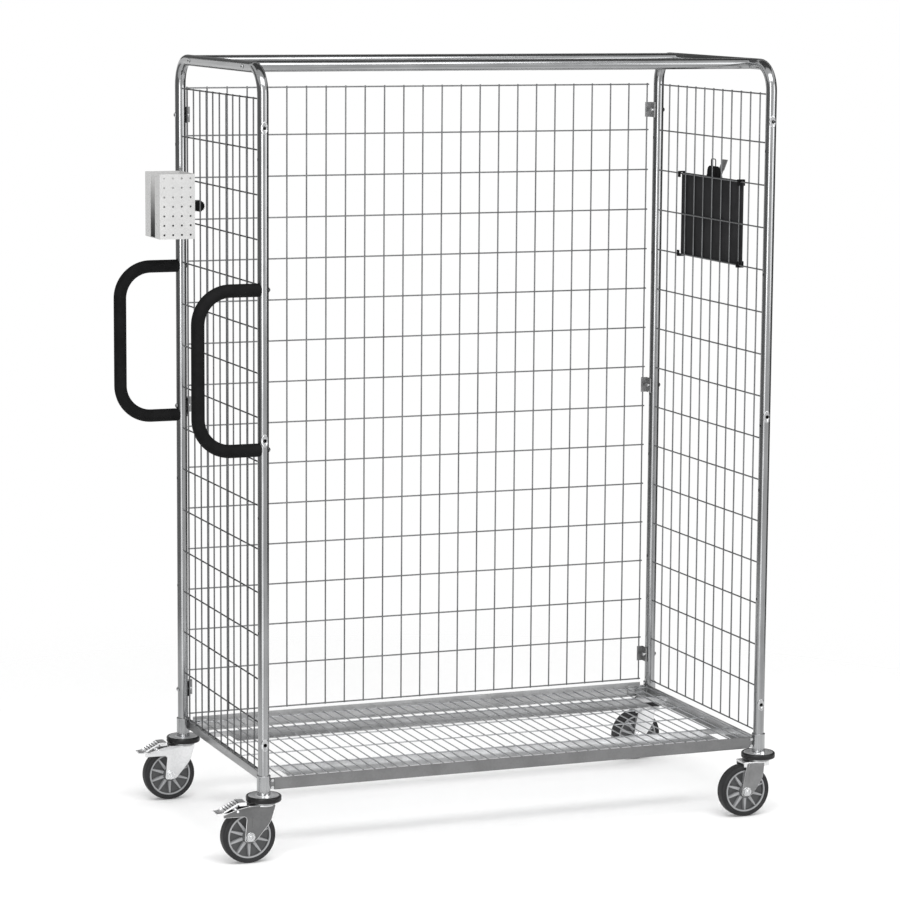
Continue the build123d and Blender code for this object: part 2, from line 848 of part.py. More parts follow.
def make_handle(end):
    x = post_x["left"]
    y = post_y[end]
    with BuildPart() as handle:
        with BuildLine(plane_at_y(y)):
            FilletPolyline(
                (x, handle_arms[1]),
                (x - handle_reach, handle_arms[1]),
                (x - handle_reach, handle_arms[0]),
                (x, handle_arms[0]),
                radius=handle_bend_r,
            )
        with BuildSketch(plane_at_x(x)):
            with Locations((y, handle_arms[1])):
                Circle(handle_tube_d / 2)
                Circle(handle_tube_d / 2 - handle_tube_wall, mode=Mode.SUBTRACT)
        sweep()
        with BuildSketch(plane_at_x(x - tube_r)):
            with Locations(*[(y, z) for z in handle_arms]):
                Circle(handle_tube_d / 2 - handle_tube_wall)
                Circle(bolt_hole_d / 2, mode=Mode.SUBTRACT)
        extrude(amount=-plug_length)
        with BuildSketch(Plane.XY.offset(handle_low - handle_tube_d)):
            with Locations((x, y)):
                Circle(tube_r)
        extrude(amount=handle_span + 2 * handle_tube_d, mode=Mode.SUBTRACT)
    return handle.part


def make_grip(end):
    """Foam sleeve over the whole handle, saddled against the post at both ends."""
    x = post_x["left"]
    y = post_y[end]
    start = x - grip_wrap
    with BuildPart() as grip:
        with BuildLine(plane_at_y(y)):
            FilletPolyline(
                (start, handle_arms[1]),
                (x - handle_reach, handle_arms[1]),
                (x - handle_reach, handle_arms[0]),
                (start, handle_arms[0]),
                radius=handle_bend_r,
            )
        with BuildSketch(plane_at_x(start)):
            with Locations((y, handle_arms[1])):
                Circle(grip_d / 2)
                Circle(handle_tube_d / 2 + grip_fit, mode=Mode.SUBTRACT)
        sweep()
        with BuildSketch(Plane.XY.offset(handle_low - grip_d)):
            with Locations((x, y)):
                Circle(tube_r + grip_post_gap)
        extrude(amount=handle_span + 2 * grip_d, mode=Mode.SUBTRACT)
    return grip.part


# Holder box, its bracket and its clamp

holder_row_z = row_heights[holder_row_count]
holder_right = post_x["left"] - holder_post_gap
holder_left = holder_right - holder_x
holder_mid_x = (holder_left + holder_right) / 2
holder_top = holder_row_z + holder_above_row
holder_bottom = holder_top - holder_z
clamp_wire_y = end_column_pitch * holder_column_count
holder_front = clamp_wire_y - holder_lead
holder_mid_y = holder_front + holder_y / 2
clamp_wire_x = post_x["left"] + column_inset
clamp_z = holder_row_z - jaw_drop
lug_back = clamp_wire_y - wire_d / 2 - weld_gap
jaw_front = clamp_wire_y + wire_d / 2 + weld_gap
bracket_face = holder_right + bracket_t
knob_x = clamp_wire_x + wire_d / 2 + knob_wire_gap + knob_screw_d / 2
knob_back = lug_back - jaw_t - knob_lug_gap
jaw_end = knob_x + knob_screw_d / 2 + jaw_overlap


def make_holder_box():
    """Open-topped box of perforated sheet with a full-height slot in its outer side."""
    with BuildPart() as box:
        with BuildSketch(Plane(origin=(holder_mid_x, holder_mid_y, holder_bottom))):
            Rectangle(holder_x, holder_y)
        extrude(amount=holder_z)
        with BuildSketch(Plane(origin=(holder_mid_x, holder_mid_y, holder_bottom + holder_t))):
            Rectangle(holder_x - 2 * holder_t, holder_y - 2 * holder_t)
        extrude(amount=holder_z, mode=Mode.SUBTRACT)
        with BuildSketch(plane_at_x(holder_left)):
            with Locations((holder_mid_y, holder_bottom + holder_t + holder_z / 2)):
                Rectangle(holder_slot, holder_z)
                side_pitch = holder_slot + holder_hole_pitch_y
                with GridLocations(side_pitch, holder_hole_pitch_y, 2, holder_hole_row_count):
                    Circle(holder_hole_d / 2)
        extrude(amount=holder_t, mode=Mode.SUBTRACT)
        with BuildSketch(plane_at_y(holder_front)):
            with Locations((holder_mid_x, (holder_bottom + holder_top) / 2)):
                hole_grid = (holder_hole_column_count, holder_hole_row_count)
                with GridLocations(holder_hole_pitch_x, holder_hole_pitch_y, *hole_grid):
                    Circle(holder_hole_d / 2)
        extrude(amount=-holder_y, mode=Mode.SUBTRACT)
    return box.part


def make_holder_bracket():
    """Back plate of the box, hooked over a row wire, with the fixed lug of the clamp."""
    row_x = post_x["left"] + row_inset
    over_row = holder_row_z + wire_d / 2 + weld_gap
    behind_row = row_x + wire_d / 2 + weld_gap
    plate_bottom = holder_row_z - bracket_drop
    with BuildPart() as bracket:
        with BuildSketch(plane_at_x(holder_right)):
            with Locations((holder_front + holder_y - bracket_width / 2, (plate_bottom + over_row) / 2)):
                Rectangle(bracket_width, over_row - plate_bottom)
        extrude(amount=bracket_t)
        for k in range(hook_count):
            with BuildSketch(plane_at_y(clamp_wire_y + end_column_pitch * (k + 0.5))):
                with BuildLine():
                    Polyline(
                        (holder_right, over_row),
                        (holder_right, over_row + bracket_t),
                        (behind_row + bracket_t, over_row + bracket_t),
                        (behind_row + bracket_t, over_row - hook_drop),
                        (behind_row, over_row - hook_drop),
                        (behind_row, over_row),
                        close=True,
                    )
                make_face()
            extrude(amount=hook_width / 2, both=True)
        with BuildSketch(plane_at_y(lug_back)):
            with Locations(((holder_right + jaw_end) / 2, clamp_z)):
                Rectangle(jaw_end - holder_right, jaw_height)
            with Locations((knob_x, clamp_z)):
                Circle(knob_screw_d / 2 + knob_fit, mode=Mode.SUBTRACT)
        extrude(amount=jaw_t)
    return bracket.part


def make_holder_jaw():
    with BuildPart() as jaw:
        with BuildSketch(plane_at_y(jaw_front)):
            with Locations(((bracket_face + weld_gap + jaw_end) / 2, clamp_z)):
                Rectangle(jaw_end - bracket_face - weld_gap, jaw_height)
            with Locations((knob_x, clamp_z)):
                Circle(knob_screw_d / 2 + knob_fit, mode=Mode.SUBTRACT)
        extrude(amount=-jaw_t)
    return jaw.part


def make_holder_knob():
    """Clamp knob with its screw, which passes the lug and holds the jaw."""
    with BuildPart() as knob:
        with BuildSketch(plane_at_y(knob_back)):
            with Locations((knob_x, clamp_z)):
                Circle(knob_d / 2)
        extrude(amount=knob_h)
        fillet(knob.edges().filter_by(GeomType.CIRCLE), knob_round)
        with BuildSketch(plane_at_y(knob_back)):
            with Locations((knob_x, clamp_z)):
                Circle(knob_screw_d / 2)
        extrude(amount=-(jaw_front + jaw_t + knob_tail - knob_back))
    return knob.part


# Clipboard and its clamp

board_x = post_x["right"] - column_inset + wire_d / 2 + weld_gap
board_face = board_x + board_t
board_top = row_heights[board_top_row_count] + board_past_row
board_bottom = row_heights[board_bottom_row_count] - board_past_row
clamp_face = board_face + clamp_plate_t
clamp_pin = (clamp_face + clamp_pin_out, board_top - clamp_pin_drop)


def make_clipboard():
    with BuildPart() as board:
        with BuildSketch(plane_at_x(board_x)):
            with Locations((board_offset, (board_top + board_bottom) / 2)):
                Rectangle(board_y, board_top - board_bottom)
        extrude(amount=board_t)
    return board.part


def make_corner_clips():
    """Four channel clips, each over an edge of the board and a row wire of the end mesh."""
    wire_side = post_x["right"] - row_inset - wire_d / 2 - corner_fit
    board_side = board_face + weld_gap
    with BuildPart() as clips:
        for edge, turn in ((board_top, 1), (board_bottom, -1)):
            web = edge + turn * weld_gap
            for end in outward.values():
                with BuildSketch(plane_at_y(board_offset + end * (board_y - corner_width) / 2)):
                    with BuildLine():
                        Polyline(
                            (wire_side, web),
                            (board_side, web),
                            (board_side, web - turn * corner_leg),
                            (board_side + corner_t, web - turn * corner_leg),
                            (board_side + corner_t, web + turn * corner_t),
                            (wire_side - corner_t, web + turn * corner_t),
                            (wire_side - corner_t, web - turn * corner_leg),
                            (wire_side, web - turn * corner_leg),
                            close=True,
                        )
                    make_face()
                extrude(amount=corner_width / 2, both=True)
    return clips.part


def make_clamp_base():
    """Plate on the board with two ears for the lever pin, a tab above the board and a hanging loop."""
    tab_top = board_top + clamp_tab_rise
    loop_x = board_face + clamp_plate_t / 2
    with BuildPart() as base:
        with BuildSketch(plane_at_x(board_face)) as plate:
            with Locations((board_offset, board_top - clamp_drop / 2)):
                Rectangle(clamp_width, clamp_drop)
            with Locations((board_offset, (board_top - clamp_drop + tab_top) / 2)):
                Rectangle(clamp_tab_width, tab_top - board_top + clamp_drop)
            fillet(plate.vertices().group_by(Axis.Y)[-1], clamp_tab_round)
        extrude(amount=clamp_plate_t)
        for sign in outward.values():
            ear_y = board_offset + sign * clamp_ear_gap / 2
            with BuildSketch(plane_at_y(ear_y)):
                with Locations(((clamp_face + clamp_pin[0]) / 2, clamp_pin[1])):
                    Rectangle(clamp_pin_out, 2 * clamp_ear_r)
                with Locations(clamp_pin):
                    Circle(clamp_ear_r)
                    Circle(clamp_pin_d / 2 + clamp_pin_fit, mode=Mode.SUBTRACT)
            extrude(amount=sign * clamp_ear_t)
        with BuildLine(plane_at_x(loop_x)):
            FilletPolyline(
                (board_offset - loop_width / 2, tab_top - loop_bend_r),
                (board_offset - loop_width / 2, tab_top + loop_rise),
                (board_offset + loop_width / 2, tab_top + loop_rise),
                (board_offset + loop_width / 2, tab_top - loop_bend_r),
                radius=loop_bend_r,
            )
        with BuildSketch(Plane.XY.offset(tab_top - loop_bend_r)):
            with Locations((loop_x, board_offset - loop_width / 2)):
                Circle(loop_wire_d / 2)
        sweep()
    return base.part


def make_clamp_lever():
    """Sprung lever: a blade leaning away from the board, a jaw on the board, and its pin."""
    jaw_tip = (clamp_face + lever_jaw_gap, clamp_pin[1] - lever_jaw_drop)
    blade_tip = (clamp_pin[0] + lever_lean, clamp_pin[1] + lever_rise)
    gap_half = clamp_ear_gap / 2 - clamp_ear_t - clamp_side_gap
    with BuildPart() as lever:
        with BuildSketch(plane_at_y(board_offset)):
            with BuildLine():
                Polyline(
                    jaw_tip,
                    (clamp_pin[0], clamp_pin[1] - lever_t),
                    (clamp_pin[0] + lever_t, clamp_pin[1]),
                    (blade_tip[0] + lever_t, blade_tip[1]),
                    blade_tip,
                    (clamp_pin[0], clamp_pin[1]),
                    (jaw_tip[0], jaw_tip[1] + lever_t),
                    close=True,
                )
            make_face()
            with Locations(clamp_pin):
                Circle(lever_hub_r)
        extrude(amount=gap_half, both=True)
        with BuildSketch(plane_at_y(board_offset)):
            with BuildLine():
                Polyline(
                    (blade_tip[0] + lever_t, blade_tip[1]),
                    blade_tip,
                    (blade_tip[0] - lever_lean / 2, blade_tip[1] - lever_rise / 2),
                    (blade_tip[0] - lever_lean / 2 + lever_t, blade_tip[1] - lever_rise / 2),
                    close=True,
                )
            make_face()
        extrude(amount=lever_width / 2, both=True)
        with BuildSketch(plane_at_y(board_offset)):
            with Locations(clamp_pin):
                Circle(clamp_pin_d / 2)
        extrude(amount=clamp_ear_gap / 2, both=True)
    return lever.part


# Build every piece and write it out

for side in post_x:
    save(make_end_frame(side), f"{side}_end_frame")
    save(make_end_mesh(side), f"{side}_end_mesh")
    save(make_end_rail(side), f"{side}_rail")
save(make_back_mesh(), "back_mesh")
save(make_mesh_clips(), "mesh_clips")
save(make_frame_bolts(), "frame_bolts")
save(make_shelf_mesh(), "shelf_mesh")
save(make_shelf_bolts(), "shelf_bolts")
save(make_bumper_washers(), "bumper_washers")
for end in post_y:
    save(make_top_bar(end), f"{end}_top_bar")
    save(make_long_rail(end), f"{end}_rail")
    save(make_support(end), f"{end}_support")
    save(make_handle(end), f"{end}_handle")
    save(make_grip(end), f"{end}_grip")
    save(make_pedal(end), f"{end}_brake_pedal")
for end, side in corners:
    save(make_socket(end, side), f"{end}_{side}_socket")
    save(make_bumper(end, side), f"{end}_{side}_bumper")
    save(make_castor_head(end, side), f"{end}_{side}_castor_head")
    save(make_fork(end, side), f"{end}_{side}_fork")
    save(make_axle(end, side), f"{end}_{side}_axle")
    save(make_rim(end, side), f"{end}_{side}_rim")
    save(make_tyre(end, side), f"{end}_{side}_tyre")
save(make_holder_box(), "holder_box")
save(make_holder_bracket(), "holder_bracket")
save(make_holder_jaw(), "holder_jaw")
save(make_holder_knob(), "holder_knob")
save(make_clipboard(), "clipboard")
save(make_corner_clips(), "clipboard_corner_clips")
save(make_clamp_base(), "clamp_base")
save(make_clamp_lever(), "clamp_lever")
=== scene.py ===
"""Order picking trolley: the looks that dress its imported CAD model."""

import json
import math

import bmesh
import bpy
from bpy.props import FloatProperty, FloatVectorProperty, IntProperty, PointerProperty
from mathutils import Matrix, Vector

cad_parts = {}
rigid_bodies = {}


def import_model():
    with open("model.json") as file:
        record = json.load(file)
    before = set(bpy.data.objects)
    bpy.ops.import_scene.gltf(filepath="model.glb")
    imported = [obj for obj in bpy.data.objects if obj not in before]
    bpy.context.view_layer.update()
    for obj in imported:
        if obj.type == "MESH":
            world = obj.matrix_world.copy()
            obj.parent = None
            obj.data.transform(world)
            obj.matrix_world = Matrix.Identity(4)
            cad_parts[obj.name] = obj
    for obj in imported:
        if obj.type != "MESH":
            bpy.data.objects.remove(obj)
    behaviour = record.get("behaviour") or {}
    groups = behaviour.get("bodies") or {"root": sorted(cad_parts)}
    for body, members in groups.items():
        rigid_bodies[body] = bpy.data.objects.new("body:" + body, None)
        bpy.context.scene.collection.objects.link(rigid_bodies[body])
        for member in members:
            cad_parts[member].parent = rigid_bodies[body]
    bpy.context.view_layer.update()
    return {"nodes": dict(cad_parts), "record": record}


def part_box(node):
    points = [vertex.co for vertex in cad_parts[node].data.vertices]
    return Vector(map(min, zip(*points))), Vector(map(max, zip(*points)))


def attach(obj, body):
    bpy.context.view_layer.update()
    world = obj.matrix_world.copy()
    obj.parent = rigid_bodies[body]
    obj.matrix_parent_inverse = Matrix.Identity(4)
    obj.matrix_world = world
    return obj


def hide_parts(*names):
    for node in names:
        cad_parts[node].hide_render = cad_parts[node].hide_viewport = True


bl_info = {
    "name": "Order Picking Trolley",
    "version": (1, 0, 0),
    "blender": (4, 5, 0),
    "location": "View3D > Sidebar > Trolley",
    "description": "Dresses the packed order picking trolley with its finishes and fine shapes",
    "category": "Object",
}

for leftover in list(bpy.data.objects):
    bpy.data.objects.remove(leftover)
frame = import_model()

MM = 0.001
X, Y, Z = Vector((1, 0, 0)), Vector((0, 1, 0)), Vector((0, 0, 1))
# The sides and ends, each with the direction along X or Y that leads inwards
SIDES = {"left": 1, "right": -1}
ENDS = {"front": 1, "rear": -1}
CORNERS = [(end, side) for side in SIDES for end in ENDS]


def middle(node):
    """Centre of a CAD node's box."""
    low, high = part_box(node)
    return (low + high) / 2


# The spot on the floor below each post, the frame tube's radius and the mount on the front posts
POSTS = {
    (end, side): Vector((*middle(f"{end}_{side}_bumper").xy, 0)) for end, side in CORNERS
}
TUBE_R = (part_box("left_end_frame")[1].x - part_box("left_end_frame")[0].x) / 2
PANEL_HOLES = next(
    mount for mount in frame["record"]["mounts"] if mount["name"] == "front_panel_holes"
)


# Sizes and colours that a user may change


def length(name, default, text):
    """A size, with its default in millimetres."""
    return FloatProperty(name=name, description=text, default=default * MM, unit="LENGTH", precision=4)


def colour(name, default, text):
    return FloatVectorProperty(
        name=name, description=text, default=default, subtype="COLOR", size=3, min=0, max=1
    )


class TrolleySizes(bpy.types.PropertyGroup):
    """Fine sizes that the CAD model leaves open."""

    washer_d: length("Axle washer", 22.0, "Diameter of the washer under each axle nut")
    nut_flats: length("Axle nut", 17.0, "Width across the flats of each axle nut")
    disc_nut_flats: length("Bumper nut", 10.0, "Width across the flats of the nut on each bumper disc")
    rib_hub_width: length("Wheel rib at hub", 7.4, "Width of a wheel rib where it leaves the hub")
    rib_rim_width: length("Wheel rib at rim", 3.4, "Width of a wheel rib where it meets the rim")
    rib_count: IntProperty(name="Wheel ribs", description="Ribs on each face of a wheel", default=10, min=3)
    knob_flutes: IntProperty(
        name="Knob flutes", description="Grip flutes round the clamp knob", default=16, min=6
    )
    hole_lip_d: length("Panel hole lip", 19.0, "Outer diameter of the pressed lip round a panel hole")


class TrolleyColours(bpy.types.PropertyGroup):
    """Base colours of the finishes, in linear light."""

    tube_zinc: colour("Tube zinc", (0.3, 0.304, 0.308), "Bright zinc plate on the round tubes")
    wire_zinc: colour("Wire zinc", (0.12, 0.122, 0.125), "Zinc plate on the wire panels")
    sheet_zinc: colour("Sheet zinc", (0.262, 0.263, 0.265), "Satin zinc plate on pressed sheet")
    steel: colour("Bright steel", (0.5, 0.505, 0.51), "Bright nuts, washers and bolts")
    rubber: colour("Bumper rubber", (0.01, 0.01, 0.0105), "Black rubber of the bumper rings")
    tyre: colour("Tyre rubber", (0.022, 0.022, 0.023), "Dark grey rubber of the tyres")
    rim: colour("Wheel plastic", (0.085, 0.086, 0.088), "Grey plastic of the wheel centres")
    foam: colour("Grip foam", (0.004, 0.004, 0.0042), "Black foam of the hand grips")
    plastic: colour("Black plastic", (0.006, 0.006, 0.0063), "Black plastic of the clipboard and knob")
    paint: colour("Grey paint", (0.52, 0.52, 0.516), "Light grey powder coat of the holder")
    floor: colour("Floor", (0.97, 0.97, 0.97), "Pale studio floor")


def sizes():
    return bpy.context.scene.trolley_sizes


def colours():
    return bpy.context.scene.trolley_colours


# Shader building: values carry their own arithmetic, and one method adds any node


class Value:
    """A shader socket whose arithmetic adds Math nodes."""

    def __init__(self, finish, socket):
        self.finish = finish
        self.socket = socket

    def math(self, operation, first, second):
        return self.finish.add("ShaderNodeMath", {"operation": operation}, {0: first, 1: second})

    def __add__(self, other):
        return self.math("ADD", self, other)

    def __sub__(self, other):
        return self.math("SUBTRACT", self, other)

    def __rsub__(self, other):
        return self.math("SUBTRACT", other, self)

    def __mul__(self, other):
        return self.math("MULTIPLY", self, other)

    __radd__ = __add__
    __rmul__ = __mul__


class Finish:
    """A node tree under construction: a material's or the world's."""

    def __init__(self, owner):
        owner.use_nodes = True
        self.tree = owner.node_tree
        self.tree.nodes.clear()

    def add(self, kind, settings=None, sockets=None, output=0):
        """Adds a node and returns one of its outputs, where it has any."""
        node = self.tree.nodes.new(kind)
        for name, value in (settings or {}).items():
            setattr(node, name, value)
        for name, value in (sockets or {}).items():
            if isinstance(value, Value):
                self.tree.links.new(value.socket, node.inputs[name])
            else:
                node.inputs[name].default_value = value
        return Value(self, node.outputs[output]) if node.outputs else None

    def place(self):
        return self.add("ShaderNodeTexCoord", output="Object")

    def axis(self, name):
        return self.add("ShaderNodeSeparateXYZ", sockets={"Vector": self.place()}, output=name)

    def noise(self, scale, stretch=(1, 1, 1), detail=3.0, roughness=0.55):
        spot = self.add("ShaderNodeMapping", sockets={"Vector": self.place(), "Scale": stretch})
        wanted = {"Vector": spot, "Scale": scale, "Detail": detail, "Roughness": roughness}
        return self.add("ShaderNodeTexNoise", sockets=wanted)

    def band(self, value, low, high):
        """Rises softly from 0 to 1 as a value goes from low to high."""
        wanted = {"Value": value, "From Min": low, "From Max": high}
        return self.add("ShaderNodeMapRange", {"interpolation_type": "SMOOTHSTEP"}, wanted)

    def mix(self, mask, first, second):
        """Mixes two colours, whose sockets on a Mix node are numbers 6 and 7, and 2 for the result."""
        return self.add("ShaderNodeMix", {"data_type": "RGBA"}, {0: mask, 6: first, 7: second}, output=2)

    def bump(self, height, strength, distance):
        wanted = {"Height": height, "Strength": strength, "Distance": distance}
        return self.add("ShaderNodeBump", sockets=wanted)

    def surface(self, shader):
        self.add("ShaderNodeOutputMaterial", sockets={"Surface": shader})


def tone(tint, factor):
    """A colour made lighter or darker."""
    return [factor * part for part in tint]


def shade(tint, factor):
    """A colour made lighter or darker for a socket: white at most, with full alpha."""
    return (*(min(1.0, part) for part in tone(tint, factor)), 1.0)


def finished(name, build):
    """The named finish, made on first use and kept apart from the CAD model's own materials."""
    made = bpy.data.materials.get(f"{name}_finish")
    if made is None:
        made = bpy.data.materials.new(f"{name}_finish")
        finish = Finish(made)
        finish.surface(finish.add("ShaderNodeBsdfPrincipled", sockets=build(finish)))
    return made


# How the painted reflection streaks are drawn out along each axis, their scale, and the heights between
# which the posts bend over
STREAKS = {"X": (0.015, 1, 1), "Y": (1, 0.015, 1), "Z": (1, 1, 0.015)}
REFLECTION_STREAK_SCALE = 420
TOP_BEND = (1.735, 1.765)


def zinc(name, tint, along, rough=0.15, contrast=0.16):
    """Zinc plate with soft clouding and painted reflection streaks along one axis, or along a second one
    above the bends.
    """

    def build(finish):
        streak = finish.noise(REFLECTION_STREAK_SCALE, STREAKS[along[0]], detail=2.0)
        if len(along) > 1:
            crossing = finish.noise(REFLECTION_STREAK_SCALE, STREAKS[along[1]], detail=2.0)
            above = finish.band(finish.axis("Z"), *TOP_BEND)
            streak = streak * (1 - above) + crossing * above
        cloud = finish.noise(9, detail=4.0)
        # The colour mixes random clouding with painted reflection streaks
        mask = finish.band(streak * 0.62 + cloud * 0.38, 0.34, 0.66)
        return {
            "Base Color": finish.mix(mask, shade(tint, 1 - contrast), shade(tint, 1 + contrast)),
            "Metallic": 1.0,
            "Roughness": rough + cloud * 0.12 - 0.06,
        }

    return finished(name, build)


def satin(name, tint, rough=0.34):
    """Satin zinc plate with soft clouding and no grain direction."""

    def build(finish):
        cloud = finish.noise(16, detail=5.0)
        spangle = finish.noise(190, detail=3.0)
        mask = finish.band(cloud * 0.7 + spangle * 0.3, 0.35, 0.65)
        return {
            "Base Color": finish.mix(mask, shade(tint, 0.9), shade(tint, 1.1)),
            "Metallic": 1.0,
            "Roughness": rough + cloud * 0.12 - 0.06,
            "Normal": finish.bump(spangle, strength=0.03, distance=0.0003),
        }

    return finished(name, build)


def sheet(name, factor):
    """Satin zinc of one group of pressings; a factor other than 1 paints it lighter or darker than the
    plain sheet, as painted light and shade.
    """
    return satin(f"{name}_zinc", tone(colours().sheet_zinc, factor))


def bright_steel():
    """Bright bolts and nuts, with fine turning marks."""
    tint = colours().steel

    def build(finish):
        cloud = finish.noise(60, detail=4.0)
        turned = finish.noise(700, detail=2.0)
        mask = finish.band(cloud, 0.3, 0.7)
        return {
            "Base Color": finish.mix(mask, shade(tint, 0.8), shade(tint, 1.12)),
            "Metallic": 1.0,
            "Roughness": 0.14 + turned * 0.16,
            "Normal": finish.bump(turned, strength=0.08, distance=0.0003),
        }

    return finished("bright_steel", build)


def moulded(name, tint, rough, grain, depth, dust=0.25, gloss=0.3):
    """Rubber, plastic or paint with a fine grain and faint dusty clouding."""

    def build(finish):
        cloud = finish.noise(28, detail=5.0)
        pores = finish.noise(grain, detail=2.0)
        mask = finish.band(cloud * 0.7 + pores * 0.3, 0.32, 0.68)
        return {
            "Base Color": finish.mix(mask, shade(tint, 1 - dust), shade(tint, 1 + dust)),
            "Roughness": rough + cloud * 0.16 - 0.08,
            "Specular IOR Level": gloss,
            "Normal": finish.bump(pores, strength=depth, distance=0.0005),
        }

    return finished(name, build)


def black_plastic(name="black_plastic", factor=1.0, rough=0.46):
    """Dull black plastic, or a lighter one of its own name."""
    tint = tone(colours().plastic, factor)
    return moulded(name, tint, rough, grain=1400, depth=0.05, gloss=0.02)


def grip_foam():
    """Black foam with closed cells under a rough skin."""
    tint = colours().foam

    def build(finish):
        cells = finish.add(
            "ShaderNodeTexVoronoi", sockets={"Vector": finish.place(), "Scale": 750.0}
        )
        cloud = finish.noise(45, detail=4.0)
        skin = finish.noise(260, detail=3.0)
        mask = finish.band(cloud * 0.5 + skin * 0.5, 0.35, 0.65)
        return {
            "Base Color": finish.mix(mask, shade(tint, 0.6), shade(tint, 1.5)),
            "Roughness": 0.62 + skin * 0.25,
            "Specular IOR Level": 0.12,
            "Normal": finish.bump(cells * 0.6 + skin * 0.4, strength=0.35, distance=0.0006),
        }

    return finished("grip_foam", build)


# Mesh helpers: places and offsets are in metres, and sizes and outlines in millimetres

SAME_PLACE = 1e-6
SMOOTH_LIMIT = 35.0
CORNER_STEPS = 6


def only_verts(made):
    return [item for item in made if isinstance(item, bmesh.types.BMVert)]


def absorb(mesh, part):
    """Adds a part's faces to a mesh and frees the part."""
    data = bpy.data.meshes.new("part")
    part.to_mesh(data)
    part.free()
    mesh.from_mesh(data)
    bpy.data.meshes.remove(data)


def second_finish(part):
    """Gives all faces of a part the second of its piece's finishes."""
    for face in part.faces:
        face.material_index = 1


def soften(part, edges, size, segments=2):
    bmesh.ops.bevel(
        part, geom=edges, offset=size * MM, offset_type="OFFSET", segments=segments,
        profile=0.5, affect="EDGES", material=-1, clamp_overlap=True,
    )


def sharp_edges(part, limit=0.7):
    """Edges whose faces turn by more than a limit, in radians."""
    return [e for e in part.edges if len(e.link_faces) == 2 and e.calc_face_angle() > limit]


def thicken(part, along):
    """Grows the part's faces along a vector into a closed solid."""
    grown = bmesh.ops.extrude_face_region(part, geom=part.faces[:])["geom"]
    bmesh.ops.translate(part, verts=only_verts(grown), vec=along)
    bmesh.ops.recalc_face_normals(part, faces=part.faces[:])


def plate(mesh, outline, origin, right, up, thick, edge):
    """A flat plate. The outline holds (along right, along up, corner round); it grows along right x up."""
    part = bmesh.new()
    corners = [part.verts.new(origin + (right * a + up * b) * MM) for a, b, _ in outline]
    part.faces.new(corners)
    for turn in sorted({corner[2] for corner in outline if corner[2]}):
        chosen = [vert for vert, corner in zip(corners, outline) if corner[2] == turn]
        bmesh.ops.bevel(
            part, geom=chosen, offset=turn * MM, offset_type="OFFSET", segments=CORNER_STEPS,
            profile=0.5, affect="VERTICES", material=-1,
        )
    thicken(part, right.cross(up) * thick * MM)
    soften(part, sharp_edges(part), edge)
    absorb(mesh, part)


def block(mesh, low, high, edge):
    """A small block between two corners in millimetres, with its edges softened."""
    part = bmesh.new()
    bmesh.ops.create_cube(part, size=MM)
    bmesh.ops.scale(part, verts=part.verts[:], vec=high - low)
    bmesh.ops.translate(part, verts=part.verts[:], vec=(low + high) / 2 * MM)
    soften(part, part.edges[:], edge)
    absorb(mesh, part)


def mirrored(profile):
    """A profile's points in reverse, on the other side of height 0."""
    return [(radius, -height) for radius, height in reversed(profile)]


def lathe(mesh, profile, centre, axis, steps=48):
    """Spins (radius, height) points about an axis through centre."""
    side = axis.orthogonal().normalized()
    line = [mesh.verts.new(centre + (side * radius + axis * height) * MM) for radius, height in profile]
    edges = [mesh.edges.new(pair) for pair in zip(line, line[1:])]
    bmesh.ops.spin(
        mesh, geom=line + edges, cent=centre, axis=axis, angle=math.tau, steps=steps, use_merge=True
    )


def repeat_round(part, centre, axis, count):
    """Repeats a part evenly round an axis."""
    bmesh.ops.spin(
        part, geom=part.verts[:] + part.edges[:] + part.faces[:], cent=centre, axis=axis,
        angle=math.tau * (count - 1) / count, steps=count - 1, use_duplicate=True,
    )


def facing(centre, axis):
    """Moves a flat shape to centre and turns its face along axis."""
    return Matrix.Translation(centre) @ axis.to_track_quat("Z", "Y").to_matrix().to_4x4()


def hex_nut(mesh, centre, axis, flats, height, chamfer=0.9, edge=0.25):
    """A six-sided nut with its outer corners chamfered."""
    part = bmesh.new()
    bmesh.ops.create_circle(
        part, cap_ends=True, radius=flats / math.sqrt(3) * MM, segments=6, matrix=facing(centre, axis)
    )
    thicken(part, axis * height * MM)
    reach = max(vert.co.dot(axis) for vert in part.verts)
    rim = [e for e in part.edges if all(reach - v.co.dot(axis) < SAME_PLACE for v in e.verts)]
    soften(part, rim, chamfer)
    soften(part, sharp_edges(part, limit=0.9), edge)
    absorb(mesh, part)


def ring(mesh, centre, heading, radius, segments=40):
    """A circle of edges, from which a tube is drawn."""
    made = bmesh.ops.create_circle(
        mesh, radius=radius * MM, segments=segments, matrix=facing(centre, heading)
    )
    return list({edge for vert in made["verts"] for edge in vert.link_edges})


def run(mesh, edges, offset, grow=1.0):
    """Draws an open end of a tube along an offset, and scales it about its middle."""
    made = bmesh.ops.extrude_edge_only(mesh, edges=edges)["geom"]
    verts = only_verts(made)
    bmesh.ops.translate(mesh, verts=verts, vec=offset)
    centre = sum((vert.co for vert in verts), Vector()) / len(verts)
    bmesh.ops.scale(mesh, verts=verts, vec=(grow,) * 3, space=Matrix.Translation(-centre))
    fresh = set(verts)
    return [e for e in made if isinstance(e, bmesh.types.BMEdge) and fresh.issuperset(e.verts)]


def bend(mesh, edges, centre, axis, angle, steps=20):
    """Draws an open end of a tube round an axis, by an angle in degrees."""
    verts = list({vert for edge in edges for vert in edge.verts})
    made = bmesh.ops.spin(
        mesh, geom=verts + edges, cent=centre, axis=axis, angle=math.radians(angle), steps=steps
    )
    return [e for e in made["geom_last"] if isinstance(e, bmesh.types.BMEdge)]


